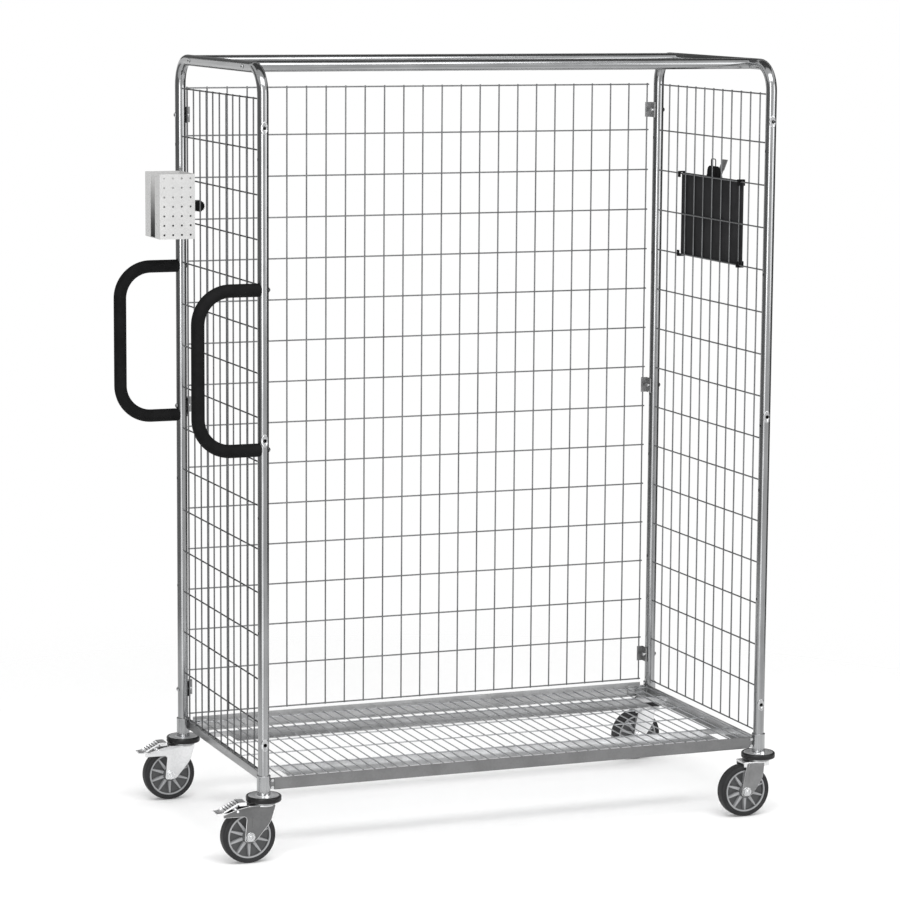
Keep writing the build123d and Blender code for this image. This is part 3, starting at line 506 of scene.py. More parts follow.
def piece(name, mesh, finishes, body, slot, *nodes):
    """Turns a mesh into a piece that rides on a body and stands for the CAD nodes."""
    bmesh.ops.remove_doubles(mesh, verts=mesh.verts[:], dist=SAME_PLACE)
    bmesh.ops.recalc_face_normals(mesh, faces=mesh.faces[:])
    data = bpy.data.meshes.new(name)
    mesh.to_mesh(data)
    mesh.free()
    data.polygons.foreach_set("use_smooth", [True] * len(data.polygons))
    data.set_sharp_from_angle(angle=math.radians(SMOOTH_LIMIT))
    for finish in finishes:
        data.materials.append(finish)
    made = bpy.data.objects.new(name, data)
    bpy.context.scene.collection.objects.link(made)
    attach(made, body)
    if nodes:
        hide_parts(*nodes)
    return made


def dress(finish, *nodes):
    """Gives CAD nodes that stay in sight a finish."""
    for node in nodes:
        data = frame["nodes"][node].data
        data.materials.clear()
        data.materials.append(finish)


class Maker:
    """What every operator of this add-on shares."""

    bl_options = {"REGISTER", "UNDO"}

    def execute(self, context):
        self.make()
        return {"FINISHED"}


# Stage: camera, floor, lamps and reflection cards

# The camera's place in metres, its turn, tilt and roll in degrees, and its lens and sensor in millimetres
CAMERA_PLACE = (-2.90679, -7.43034, 2.03815)
CAMERA_TURN = (21.43, 8.32, 0.40)
CAMERA_LENS = 135.758
CAMERA_SENSOR = 36.0
CAMERA_REACH = 100.0


def aimed(spot, target):
    """Moves a lamp or card to a spot and turns it to a target."""
    turn = (Vector(target) - Vector(spot)).to_track_quat("-Z", "Y")
    return Matrix.Translation(spot) @ turn.to_matrix().to_4x4()


def around(turn, reach, height):
    """A spot round the trolley, turned clockwise from the camera's own side."""
    start = math.atan2(CAMERA_PLACE[1], CAMERA_PLACE[0])
    angle = start - math.radians(turn)
    return Vector((reach * math.cos(angle), reach * math.sin(angle), height))


def stage_sheet(name, width, height, place, finish):
    """A flat sheet of the stage, such as the floor or a card."""
    mesh = bmesh.new()
    bmesh.ops.create_grid(mesh, x_segments=1, y_segments=1, size=0.5)
    bmesh.ops.scale(mesh, verts=mesh.verts[:], vec=(width, height, 1))
    bmesh.ops.transform(mesh, verts=mesh.verts[:], matrix=place)
    data = bpy.data.meshes.new(name)
    mesh.to_mesh(data)
    mesh.free()
    data.materials.append(finish)
    made = bpy.data.objects.new(name, data)
    bpy.context.scene.collection.objects.link(made)
    return made


class TROLLEY_OT_stage(Maker, bpy.types.Operator):
    """Sets the camera, the pale floor, the lamps and the cards that the metal reflects"""

    bl_idname = "trolley.stage"
    bl_label = "Stage"

    # Name, place, height aimed at, width and tallness in metres, watts, and whether it casts shadows
    lamps = [
        ("lamp_key", around(15, 4.6, 2.2), 0.9, 1.4, 3.4, 68, False),
        ("lamp_fill", around(-62, 5.0, 2.0), 0.8, 2.2, 2.6, 40, False),
        ("lamp_top", around(-10, 2.6, 4.5), 0.4, 4.4, 1.6, 112, True),
    ]
    # Name, place, width and tallness in metres, and how light the card looks
    cards = [
        ("card_left_front", around(60, 4.2, 1.4), 3.6, 3.6, 0.28),
        ("card_left", around(105, 4.2, 1.4), 3.4, 3.6, 0.28),
        ("card_back_left", around(165, 4.2, 1.4), 1.5, 3.6, 0.2),
        ("card_right", around(-120, 4.2, 1.4), 5.6, 3.6, 0.12),
        ("card_back_right", around(-164, 4.2, 1.4), 1.6, 3.6, 0.12),
        ("card_low_strip", around(15, 4.6, -0.25), 1.3, 1.7, 3.0),
        ("card_behind", around(180, 4.2, 3.3), 7.0, 2.4, 0.14),
        ("card_above", around(180, 1.1, 4.4), 6.0, 2.8, 0.12),
    ]
    # Height that the cards face, in metres
    card_aim = 1.0
    # Light of the sky on the object, where 1 is the white that the camera sees
    sky_light = 0.8
    # Floor: its side, its drop below the wheels, and where it starts and ends to fade, in metres
    floor_side = 8.0
    floor_drop = 0.0005
    floor_fade = (1.0, 2.6)

    def make(self):
        self.camera()
        self.world()
        self.floor()
        for name, spot, height, wide, tall, watts, shadow in self.lamps:
            data = bpy.data.lights.new(name, "AREA")
            data.use_shadow = shadow
            data.shape = "RECTANGLE"
            data.size = wide
            data.size_y = tall
            data.energy = watts
            made = bpy.data.objects.new(name, data)
            made.matrix_world = aimed(spot, (0, 0, height))
            bpy.context.scene.collection.objects.link(made)
        for name, spot, wide, tall, glow in self.cards:
            material = bpy.data.materials.new(name)
            finish = Finish(material)
            finish.surface(finish.add("ShaderNodeEmission", sockets={"Strength": glow}))
            card = stage_sheet(name, wide, tall, aimed(spot, (0, 0, self.card_aim)), material)
            card.visible_camera = False
            card.visible_diffuse = False
            card.visible_transmission = False
            card.visible_shadow = False

    def camera(self):
        turn, tilt, roll = (math.radians(part) for part in CAMERA_TURN)
        right = Vector((math.cos(turn), -math.sin(turn), 0))
        ahead = Vector((math.sin(turn) * math.cos(tilt), math.cos(turn) * math.cos(tilt), -math.sin(tilt)))
        down = ahead.cross(right)
        across = right * math.cos(roll) - down * math.sin(roll)
        below = right * math.sin(roll) + down * math.cos(roll)
        axes = Matrix((across, -below, -ahead)).transposed().to_4x4()
        data = bpy.data.cameras.new("camera")
        data.sensor_width = CAMERA_SENSOR
        data.lens = CAMERA_LENS
        data.clip_end = CAMERA_REACH
        made = bpy.data.objects.new("camera", data)
        made.matrix_world = Matrix.Translation(CAMERA_PLACE) @ axes
        bpy.context.scene.collection.objects.link(made)
        bpy.context.scene.camera = made

    def world(self):
        """A sky that is white to the camera and in reflections, and dimmer as a light."""
        scene = bpy.context.scene
        scene.view_settings.view_transform = "Standard"
        world = bpy.data.worlds.new("studio")
        scene.world = world
        finish = Finish(world)
        seen = finish.add("ShaderNodeLightPath", output="Is Camera Ray")
        glossy = Value(finish, seen.socket.node.outputs["Is Glossy Ray"])
        through = Value(finish, seen.socket.node.outputs["Is Transmission Ray"])
        shown = finish.band(seen + glossy + through, 0.0, 1.0)
        strength = self.sky_light + shown * (1 - self.sky_light)
        sky = finish.add("ShaderNodeBackground", sockets={"Color": (1, 1, 1, 1), "Strength": strength})
        finish.add("ShaderNodeOutputWorld", sockets={"Surface": sky})

    def floor(self):
        """A pale floor that keeps the shadow and fades out into the sky."""
        material = bpy.data.materials.new("studio_floor")
        finish = Finish(material)
        grain = finish.noise(3, detail=3.0)
        tint = colours().floor
        paint = finish.mix(grain, shade(tint, 0.985), shade(tint, 1.0))
        lit = finish.add("ShaderNodeBsdfDiffuse", sockets={"Color": paint})
        clear = finish.add("ShaderNodeBsdfTransparent")
        reach = finish.add(
            "ShaderNodeVectorMath", {"operation": "LENGTH"}, {0: finish.place()}, output="Value"
        )
        fade = finish.band(reach, *self.floor_fade)
        finish.surface(finish.add("ShaderNodeMixShader", sockets={0: fade, 1: lit, 2: clear}))
        place = Matrix.Translation((0, 0, -self.floor_drop))
        stage_sheet("floor", self.floor_side, self.floor_side, place, material)


# Frame: its tubes and wires stay as drawn in the CAD model


class TROLLEY_OT_tubes(Maker, bpy.types.Operator):
    """Finishes the bent tubes and presses the lips of the panel holes"""

    bl_idname = "trolley.tubes"
    bl_label = "Tubes"

    # Lip: gap to the hole, depth of its root, and where and how much it is drawn out along the post
    bore_gap = 0.05
    lip_root = -0.8
    stretch_from = 6.4
    stretch = 1.5
    # Painted highlight: how much lighter the lips are painted than the tubes
    lip_highlight_tone = 1.4

    def make(self):
        tint = colours().tube_zinc
        dress(zinc("tube_zinc_z", tint, "ZY"), "left_end_frame", "right_end_frame")
        straight = zinc("tube_zinc_x", tint, "X")
        dress(straight, "front_top_bar", "rear_top_bar", "front_handle", "rear_handle")
        centre = PANEL_HOLES["pos_m"][2]
        reach = PANEL_HOLES["dims"]["spacing_y_mm"] / 2 * MM
        mesh = bmesh.new()
        for side in SIDES:
            for height in (centre - reach, centre, centre + reach):
                self.hole_lip(mesh, POSTS["front", side], height)
        # The lips are a lighter copy of the tube zinc: a painted highlight
        finish = zinc("lip_zinc", tone(tint, self.lip_highlight_tone), "Z", rough=0.2)
        piece("panel_hole_lips", mesh, [finish], "frame", "zinc_tube")

    def hole_lip(self, mesh, post, height):
        """A turned lip, drawn out along the post and laid round the tube."""
        lip = sizes().hole_lip_d / 2 / MM
        bore = PANEL_HOLES["dims"]["hole_r_mm"] + self.bore_gap
        root = self.lip_root
        profile = [
            (lip + 0.3, root), (lip, 0.3), (lip - 0.6, 0.8), (lip - 1.6, 0.85),
            (bore + 0.3, 0.12), (bore, -0.1), (bore, root), (lip + 0.3, root),
        ]
        part = bmesh.new()
        lathe(part, profile, Vector((post.x, post.y - TUBE_R, height)), -Y, steps=40)
        for vert in part.verts:
            if abs(vert.co.z - height) + abs(vert.co.x - post.x) > self.stretch_from * MM:
                vert.co.z = height + (vert.co.z - height) * self.stretch
            across = vert.co.x - post.x
            vert.co.y += TUBE_R - math.sqrt(TUBE_R**2 - across**2)
        absorb(mesh, part)


class TROLLEY_OT_wire_panels(Maker, bpy.types.Operator):
    """Finishes the welded wire of the ends and the back, and the clips that hold it"""

    bl_idname = "trolley.wire_panels"
    bl_label = "Wire panels"

    # Painted light: how much lighter the right end and the back are painted than the left end
    far_painted_light_tone = 1.5

    def make(self):
        tint = colours().wire_zinc
        near = zinc("wire_zinc", tint, "Z", rough=0.4, contrast=0.25)
        dress(near, "left_end_mesh")
        # The right end and the back get a lighter copy of the wire zinc: painted light
        far = zinc("light_wire_zinc", tone(tint, self.far_painted_light_tone), "Z", rough=0.4, contrast=0.25)
        dress(far, "right_end_mesh", "back_mesh")
        dress(sheet("clip", 1.0), "mesh_clips")


class TROLLEY_OT_shelf(Maker, bpy.types.Operator):
    """Folds the rails of the shelf and finishes its wires and supports"""

    bl_idname = "trolley.shelf"
    bl_label = "Shelf"

    # Rails: sheet, rounds of the fold, corners, ends and edges, and gap to the middle of the posts
    sheet_t = 2.0
    fold_r = 2.6
    corner_r = 0.8
    end_r = 0.4
    rail_edge = 0.3
    end_gap = 25.5
    # Tongues that bolt the long rails to the sockets
    tongue_l = 44.0
    tongue_t = 3.0
    tongue_inset = 2.0
    tongue_edge = 0.6
    # Painted light and shade: how much lighter or darker each rail and support is painted than the plain
    # sheet, and the wires than the panels
    painted_light_tone = {"front": 0.7, "rear": 1.6, "left": 1.3, "right": 2.2}
    support_painted_light_tone = {"front": 2.7, "rear": 1.9}
    wire_painted_light_tone = 3.6

    def make(self):
        wires = zinc("shelf_wire", tone(colours().wire_zinc, self.wire_painted_light_tone), "Y", rough=0.34)
        dress(wires, "shelf_mesh")
        for end, inward in ENDS.items():
            dress(sheet(f"{end}_support", self.support_painted_light_tone[end]), f"{end}_support")
            self.long_rail(end, inward)
        for side, inward in SIDES.items():
            self.end_rail(side, inward)

    def angle(self, rise, flange):
        """Outline of a folded angle: a face with a flange at its foot."""
        t = self.sheet_t
        return [
            (0, 0, self.fold_r), (flange, 0, self.end_r), (flange, t, self.end_r),
            (t, t, self.corner_r), (t, rise, self.end_r), (0, rise, self.corner_r),
        ]

    def long_rail(self, end, inward):
        low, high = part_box(f"{end}_rail")
        face = low.y if inward > 0 else high.y
        start = POSTS[end, "left"].x + self.end_gap * MM
        stop = POSTS[end, "right"].x - self.end_gap * MM
        section = self.angle((high.z - low.z) / MM, (high.y - low.y) / MM)
        tongue_h = (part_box("front_rail")[1].z - low.z) / MM - self.tongue_inset
        mesh = bmesh.new()
        origin = Vector((start if inward > 0 else stop, face, low.z))
        plate(mesh, section, origin, Y * inward, Z, (stop - start) / MM, self.rail_edge)
        for spot, reach in ((low.x, 1), (high.x, -1)):
            near = Vector((spot, face + inward * self.sheet_t * MM, low.z)) / MM
            far = near + Vector((self.tongue_l * reach, inward * self.tongue_t, tongue_h))
            near.z += self.tongue_inset
            corners = Vector(map(min, near, far)), Vector(map(max, near, far))
            block(mesh, *corners, self.tongue_edge)
        self.fold(end, mesh)

    def end_rail(self, side, inward):
        low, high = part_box(f"{side}_rail")
        origin = Vector((low.x if inward > 0 else high.x, high.y if inward > 0 else low.y, low.z))
        section = self.angle((high.z - low.z) / MM, (high.x - low.x) / MM)
        mesh = bmesh.new()
        plate(mesh, section, origin, X * inward, Z, (high.y - low.y) / MM, self.rail_edge)
        self.fold(side, mesh)

    def fold(self, rail, mesh):
        # Each rail is a lighter or darker copy of the same sheet: painted light and shade
        finish = sheet(f"{rail}_rail", self.painted_light_tone[rail])
        piece(f"{rail}_rail_fold", mesh, [finish], "frame", "zinc_sheet", f"{rail}_rail")


class TROLLEY_OT_sockets(Maker, bpy.types.Operator):
    """Turns the corner sockets that hold the posts, with the lugs for the rails"""

    bl_idname = "trolley.sockets"
    bl_label = "Corner sockets"

    bore_r = 12.8
    floor_t = 4.0
    bead_rise = 0.45
    lug_t = 3.0
    lug_setback = 5.0
    lug_inset = 2.0
    lug_edge = 0.6
    # How light the sockets look against the tubes
    socket_tone = 1.1

    def make(self):
        finish = zinc("socket_zinc", tone(colours().tube_zinc, self.socket_tone), "Z", rough=0.2)
        for end, side in CORNERS:
            node = f"{end}_{side}_socket"
            low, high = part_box(node)
            post = POSTS[end, side]
            outer = (high.y - low.y) / 2 / MM
            tall = (high.z - low.z) / MM
            bead = outer + self.bead_rise
            bore = self.bore_r
            profile = [
                (0, 0), (outer - 0.8, 0), (outer, 0.9), (outer, tall - 3.4), (bead, tall - 2.6),
                (bead, tall - 0.8), (outer - 0.3, tall), (bore + 0.5, tall), (bore, tall - 0.6),
                (bore, self.floor_t), (0, self.floor_t),
            ]
            mesh = bmesh.new()
            lathe(mesh, profile, Vector((post.x, post.y, low.z)), Z)
            self.lug(mesh, end, side, low, high, outer)
            piece(f"{node}_turned", mesh, [finish], "frame", "zinc_sheet", node)

    def lug(self, mesh, end, side, low, high, outer):
        """The lug that reaches from a socket along the long rail."""
        rail_low, rail_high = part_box(f"{end}_rail")
        inward = SIDES[side]
        back = ENDS[end]
        face = (rail_low.y if back > 0 else rail_high.y) / MM + back * self.lug_setback
        root = POSTS[end, side].x / MM + inward * (outer - self.lug_inset)
        tip = (high.x if inward > 0 else low.x) / MM
        ends = sorted((root, tip))
        depth = sorted((face, face + back * self.lug_t))
        foot = rail_low.z / MM + self.lug_inset
        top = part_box("front_rail")[1].z / MM - self.lug_inset
        block(mesh, Vector((ends[0], depth[0], foot)), Vector((ends[1], depth[1], top)), self.lug_edge)


class TROLLEY_OT_bumpers(Maker, bpy.types.Operator):
    """Moulds the bumper rings and presses the discs that hold them"""

    bl_idname = "trolley.bumpers"
    bl_label = "Bumpers"

    ring_inset = 0.5
    ring_bore_r = 11.2
    # Disc: seat above the ring's foot, radius, gap to the ring, bore, and its nut's reach, seat and height
    disc_seat = 12.0
    disc_r = 35.0
    disc_gap = 0.2
    disc_bore_r = 6.3
    nut_reach = 25.0
    nut_seat = 1.1
    nut_h = 4.4
    stud = [(0, 0), (2.9, 0), (2.9, 5.4), (2.2, 6.2), (0, 6.2)]
    # How light the discs look against bright steel
    disc_tone = 1.9

    def make(self):
        rubber = moulded("bumper_rubber", colours().rubber, rough=0.36, grain=900, depth=0.15, dust=0.3)
        discs = bmesh.new()
        for end, side in CORNERS:
            node = f"{end}_{side}_bumper"
            low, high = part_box(node)
            foot = Vector((*POSTS[end, side].xy, low.z))
            outer = (high.x - low.x) / 2 / MM - self.ring_inset
            bore = self.ring_bore_r
            profile = [
                (bore, 0), (outer - 3.2, 0), (outer - 0.9, 0.9), (outer, 3.0), (outer, 5.6),
                (outer - 0.7, 6.2), (outer - 0.7, 6.9), (outer, 7.5), (outer, 10.4), (outer - 0.7, 12.6),
                (outer - 2.2, 13.8), (outer - 3.8, 14), (outer - 5.0, 13.4),
                (self.disc_r + self.disc_gap, self.disc_seat), (bore, self.disc_seat), (bore, 0),
            ]
            mesh = bmesh.new()
            lathe(mesh, profile, foot, Z, steps=72)
            piece(f"{node}_ring", mesh, [rubber], "frame", "black_rubber", node)
            self.disc(discs, foot + Z * self.disc_seat * MM, ENDS[end])
        finish = satin("disc_zinc", tone(colours().steel, self.disc_tone), rough=0.42)
        piece("bumper_discs", discs, [finish], "frame", "bright_steel", "bumper_washers")

    def disc(self, mesh, foot, inward):
        """A pressed disc with a nut and its stud on the outer side."""
        bore, rim = self.disc_bore_r, self.disc_r
        profile = [
            (bore, 0), (rim, 0), (rim, 1.2), (rim - 0.6, 1.7), (rim - 4, 1.7), (rim - 5.4, 1.2),
            (19.5, 1.2), (18.4, 2), (bore, 2), (bore, 0),
        ]
        lathe(mesh, profile, foot, Z, steps=64)
        spot = foot + (Y * -inward * self.nut_reach + Z * self.nut_seat) * MM
        hex_nut(mesh, spot, Z, sizes().disc_nut_flats / MM, self.nut_h)
        lathe(mesh, self.stud, spot, Z, steps=20)


# Castors


class TROLLEY_OT_forks(Maker, bpy.types.Operator):
    """Presses the castor forks and finishes the castor heads"""

    bl_idname = "trolley.forks"
    bl_label = "Castor forks"

    half_width = 22.0
    sheet_t = 3.0
    leg_edge = 1.4
    # Outlines from the swivel axis and the floor
    plain_leg = [
        (-52, 51.5, 6.5), (-25.5, 51.5, 6.5), (4, 94.5, 9), (7, 131.5, 0.5), (-38, 131.5, 2), (-46, 96, 20),
    ]
    braked_leg = [
        (-52, 51.5, 6.5), (-25.5, 51.5, 6.5), (11, 94.5, 9), (22, 131.0, 0.5), (20, 134.5, 1.5),
        (-56, 134.5, 30), (-103, 117.5, 3), (-102, 111, 2), (-46.5, 110.5, 8),
    ]
    bead = [(-33.6, 84, 1.4), (-30.4, 84, 1.4), (-30.4, 109, 1.4), (-33.6, 109, 1.4)]
    bead_rise = 0.8
    bead_edge = 0.35
    # Crown: foot, thickness, reach along X, corners, edge, overlap with braked legs, and the ring on it
    crown_foot = 130.0
    crown_t = 4.4
    crown_reach = (-43.0, 20.0)
    crown_corner_r = 6.0
    crown_edge = 1.6
    crown_overlap = 0.2
    race_r = 27.0
    race_bore_r = 8.2
    race_height = (130.2, 134.5)
    # Skirts of a plain fork's crown: reach along X, inner face, height and edge, and the lip at one end
    skirt_reaches = ((-47, -28), (2, 20))
    skirt_inner = 18.4
    skirt_height = (121.5, 134.2)
    skirt_edge = 2.0
    lip_half = 20
    lip_foot = 128
    # Painted light: how much lighter or darker each fork's zinc is painted than the plain sheet, and how
    # much lighter the crowns and the legs' rounded edges are painted, as a painted highlight
    painted_light_tone = {"front_left": 0.55, "front_right": 0.8, "rear_left": 3.0, "rear_right": 3.0}
    crown_and_edge_highlight_tone = 2.5
    # Share of a face's normal along Y above which it belongs to a leg's flat side
    flat_side = 0.95

    def make(self):
        for end, side in CORNERS:
            corner = f"{end}_{side}"
            braked = side == "left"
            mesh = bmesh.new()
            foot = POSTS[end, side]
            for hand in (-1, 1):
                self.leg(mesh, foot, hand, self.braked_leg if braked else self.plain_leg)
            self.crown(mesh, foot, braked)
            # Each corner's fork is its own lighter or darker copy of the sheet, and the crown finish a
            # lighter one: painted light
            finishes = [sheet(f"{corner}_fork", self.painted_light_tone[corner]), sheet("crown", self.crown_and_edge_highlight_tone)]
            body = f"{corner}_castor"
            piece(f"{corner}_fork_pressing", mesh, finishes, body, "zinc_sheet", f"{corner}_fork")
        dress(bright_steel(), *(f"{end}_{side}_castor_head" for end, side in CORNERS))

    def leg(self, mesh, foot, hand, outline):
        """A leg whose rounded edges have the crown's lighter finish, a painted highlight, with a pressed
        bead.
        """
        inner = self.half_width - self.sheet_t
        origin = foot + Y * (-inner if hand < 0 else self.half_width) * MM
        part = bmesh.new()
        plate(part, outline, origin, X, Z, self.sheet_t, self.leg_edge)
        part.normal_update()
        for side in part.faces:
            # Rounded edges take the crown's lighter finish: a painted highlight
            side.material_index = int(abs(side.normal.y) < self.flat_side)
        absorb(mesh, part)
        face = foot + Y * (hand * self.half_width) * MM
        start = face + Y * (0 if hand < 0 else self.bead_rise) * MM
        plate(mesh, self.bead, start, X, Z, self.bead_rise, self.bead_edge)

    def crown(self, mesh, foot, braked):
        """The deck between the legs and the ring round the king pin."""
        part = bmesh.new()
        wide = self.half_width if not braked else self.half_width - self.sheet_t + self.crown_overlap
        back, front = self.crown_reach
        turn = self.crown_corner_r
        deck = [(back, -wide, turn), (front, -wide, turn), (front, wide, turn), (back, wide, turn)]
        plate(part, deck, foot + Z * self.crown_foot * MM, X, Y, self.crown_t, self.crown_edge)
        bore, rim = self.race_bore_r, self.race_r
        low, high = self.race_height
        profile = [
            (bore, low), (rim - 1, low), (rim, low + 0.8), (rim, high - 1.3), (rim - 1.4, high),
            (bore, high), (bore, low),
        ]
        lathe(part, profile, foot, Z, steps=56)
        if not braked:
            self.skirt(part, foot / MM)
        second_finish(part)
        absorb(mesh, part)

    def skirt(self, part, foot):
        """The crown's edges turned down beside the tyre, and a lip at its trailing end."""
        low, high = self.skirt_height
        for hand in (-1, 1):
            inner, outer = sorted((hand * self.skirt_inner, hand * self.half_width))
            for start, stop in self.skirt_reaches:
                near = foot + Vector((start, inner, low))
                block(part, near, foot + Vector((stop, outer, high)), self.skirt_edge)
        near = foot + Vector((self.skirt_reaches[0][0], -self.lip_half, self.lip_foot))
        far = foot + Vector((self.crown_reach[0], self.lip_half, high))
        block(part, near, far, self.crown_edge)


class TROLLEY_OT_axles(Maker, bpy.types.Operator):
    """Turns each wheel axle with its washers and nuts"""

    bl_idname = "trolley.axles"
    bl_label = "Axles"

    # Outer face of the legs, washer, shank, the nuts' hold in the washers, and the tips beyond the nuts
    leg_face = 22.0
    washer_t = 1.5
    shank_r = 5.0
    nut_sink = 0.05
    tip_reach = 1.2
    # Painted light: how much lighter the bolts of each end are painted than the plain steel
    painted_light_tone = {"front": 1.0, "rear": 1.6}

    def make(self):
        for end, side in CORNERS:
            corner = f"{end}_{side}"
            centre = middle(f"{corner}_axle")
            low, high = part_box(f"{corner}_axle")
            half = (high.y - low.y) / 2 / MM
            seat = self.leg_face + self.washer_t
            washer = sizes().washer_d / 2 / MM
            shank = self.shank_r
            profile = [
                (0, 1.6 - half), (2.6, 1.6 - half), (3.2, -half), (4.2, -half), (shank, 0.8 - half),
                (shank, -seat), (washer - 0.4, -seat), (washer, 0.4 - seat), (washer, -self.leg_face),
                (shank, -self.leg_face),
            ]
            mesh = bmesh.new()
            lathe(mesh, profile + mirrored(profile), centre, Y, steps=40)
            for hand in (-1, 1):
                spot = centre + Y * (hand * (seat - self.nut_sink)) * MM
                hex_nut(mesh, spot, Y * hand, sizes().nut_flats / MM, half - self.tip_reach - seat)
            # The bolts of each end get their own lighter copy of the steel: painted light
            finish = satin(f"{end}_axle_zinc", tone(colours().steel, self.painted_light_tone[end]), rough=0.22)
            body = f"{corner}_castor"
            piece(f"{corner}_axle_bolt", mesh, [finish], body, "bright_steel", f"{corner}_axle")


class TROLLEY_OT_wheels(Maker, bpy.types.Operator):
    """Moulds the wheel centres and their tyres"""

    bl_idname = "trolley.wheels"
    bl_label = "Wheels"

    # Rim: half width of its lip, depth of the lip's edge that is painted lighter as a highlight, and how
    # far the hub stays inside its node
    lip_half = 14.5
    lip_face = 1.6
    hub_gap = 0.1
    # Ribs: half width, reach from the axle and edge
    rib_half = 12.0
    rib_reach = (15, 47)
    rib_edge = 0.6
    # Painted highlight: how much lighter the ribs and the rim's edge are painted than the wheel plastic
    highlight_tone = 3.4

    def make(self):
        tint = colours().rim
        black = colours().tyre
        rubber = moulded("tyre_rubber", black, rough=0.6, grain=700, depth=0.2, dust=0.22, gloss=0.2)
        centre_grey = moulded("wheel_plastic", tint, rough=0.4, grain=1200, depth=0.1, dust=0.12)
        # A lighter copy of the wheel plastic, for the painted highlight on ribs and rim edges
        pale = tone(tint, self.highlight_tone)
        highlight_grey = moulded("wheel_edge", pale, rough=0.36, grain=1200, depth=0.1, dust=0.1)
        for end, side in CORNERS:
            corner = f"{end}_{side}"
            centre = middle(f"{corner}_tyre")
            self.tyre(corner, centre, rubber)
            self.rim(corner, centre, [centre_grey, highlight_grey])

    def tyre(self, corner, centre, rubber):
        low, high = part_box(f"{corner}_tyre")
        outer = (high.z - low.z) / 2 / MM
        half = (high.y - low.y) / 2 / MM
        side_wall = [
            (51.1, half - 1.6), (52.2, half - 0.3), (53.4, half), (55.4, half), (55.9, half - 0.5),
            (56.6, half - 0.5), (57.2, half), (58.4, half - 0.2), (60.4, half - 1.4), (61.8, half - 3.4),
            (62.3, half - 6),
        ]
        profile = [*side_wall, (outer, half - 9), (outer, 9 - half), *mirrored(side_wall)]
        mesh = bmesh.new()
        lathe(mesh, profile + profile[:1], centre, Y, steps=96)
        piece(f"{corner}_tyre_ring", mesh, [rubber], f"{corner}_wheel", "grey_tyre", f"{corner}_tyre")

    def rim(self, corner, centre, finishes):
        """The rim's lip with its edges painted lighter as a highlight, the disc with its hub, and the ribs,
        painted lighter too.
        """
        low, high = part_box(f"{corner}_rim")
        outer = (high.z - low.z) / 2 / MM
        hub = (high.y - low.y) / 2 / MM - self.hub_gap
        half = self.lip_half
        mesh = bmesh.new()
        lip = [(46.6, 0), (46.6, half - 1.4), (47.2, half), (50.2, half), (outer, half - 1), (outer, 0)]
        lathe(mesh, lip + mirrored(lip), centre, Y, steps=96)
        # Faces of the lip's edges take the painted highlight
        for face in mesh.faces:
            offset = face.calc_center_median() - centre
            if abs(offset.y) > (half - self.lip_face) * MM:
                face.material_index = 1
        disc = [(5.1, hub), (14.6, hub), (16, hub - 1.4), (17.4, 5), (18.6, 2.5), (44, 2.5), (46.7, 4)]
        section = disc + mirrored(disc)
        lathe(mesh, section + section[:1], centre, Y, steps=96)
        ribs = bmesh.new()
        near, far = sizes().rib_hub_width / 2 / MM, sizes().rib_rim_width / 2 / MM
        start, stop = self.rib_reach
        outline = [(start, -near, 0), (stop, -far, 0), (stop, far, 0), (start, near, 0)]
        plate(ribs, outline, centre - Y * self.rib_half * MM, Z, X, 2 * self.rib_half, self.rib_edge)
        # The ribs take the painted highlight
        second_finish(ribs)
        repeat_round(ribs, centre, Y, sizes().rib_count)
        absorb(mesh, ribs)
        piece(f"{corner}_wheel_centre", mesh, finishes, f"{corner}_wheel", "grey_plastic", f"{corner}_rim")


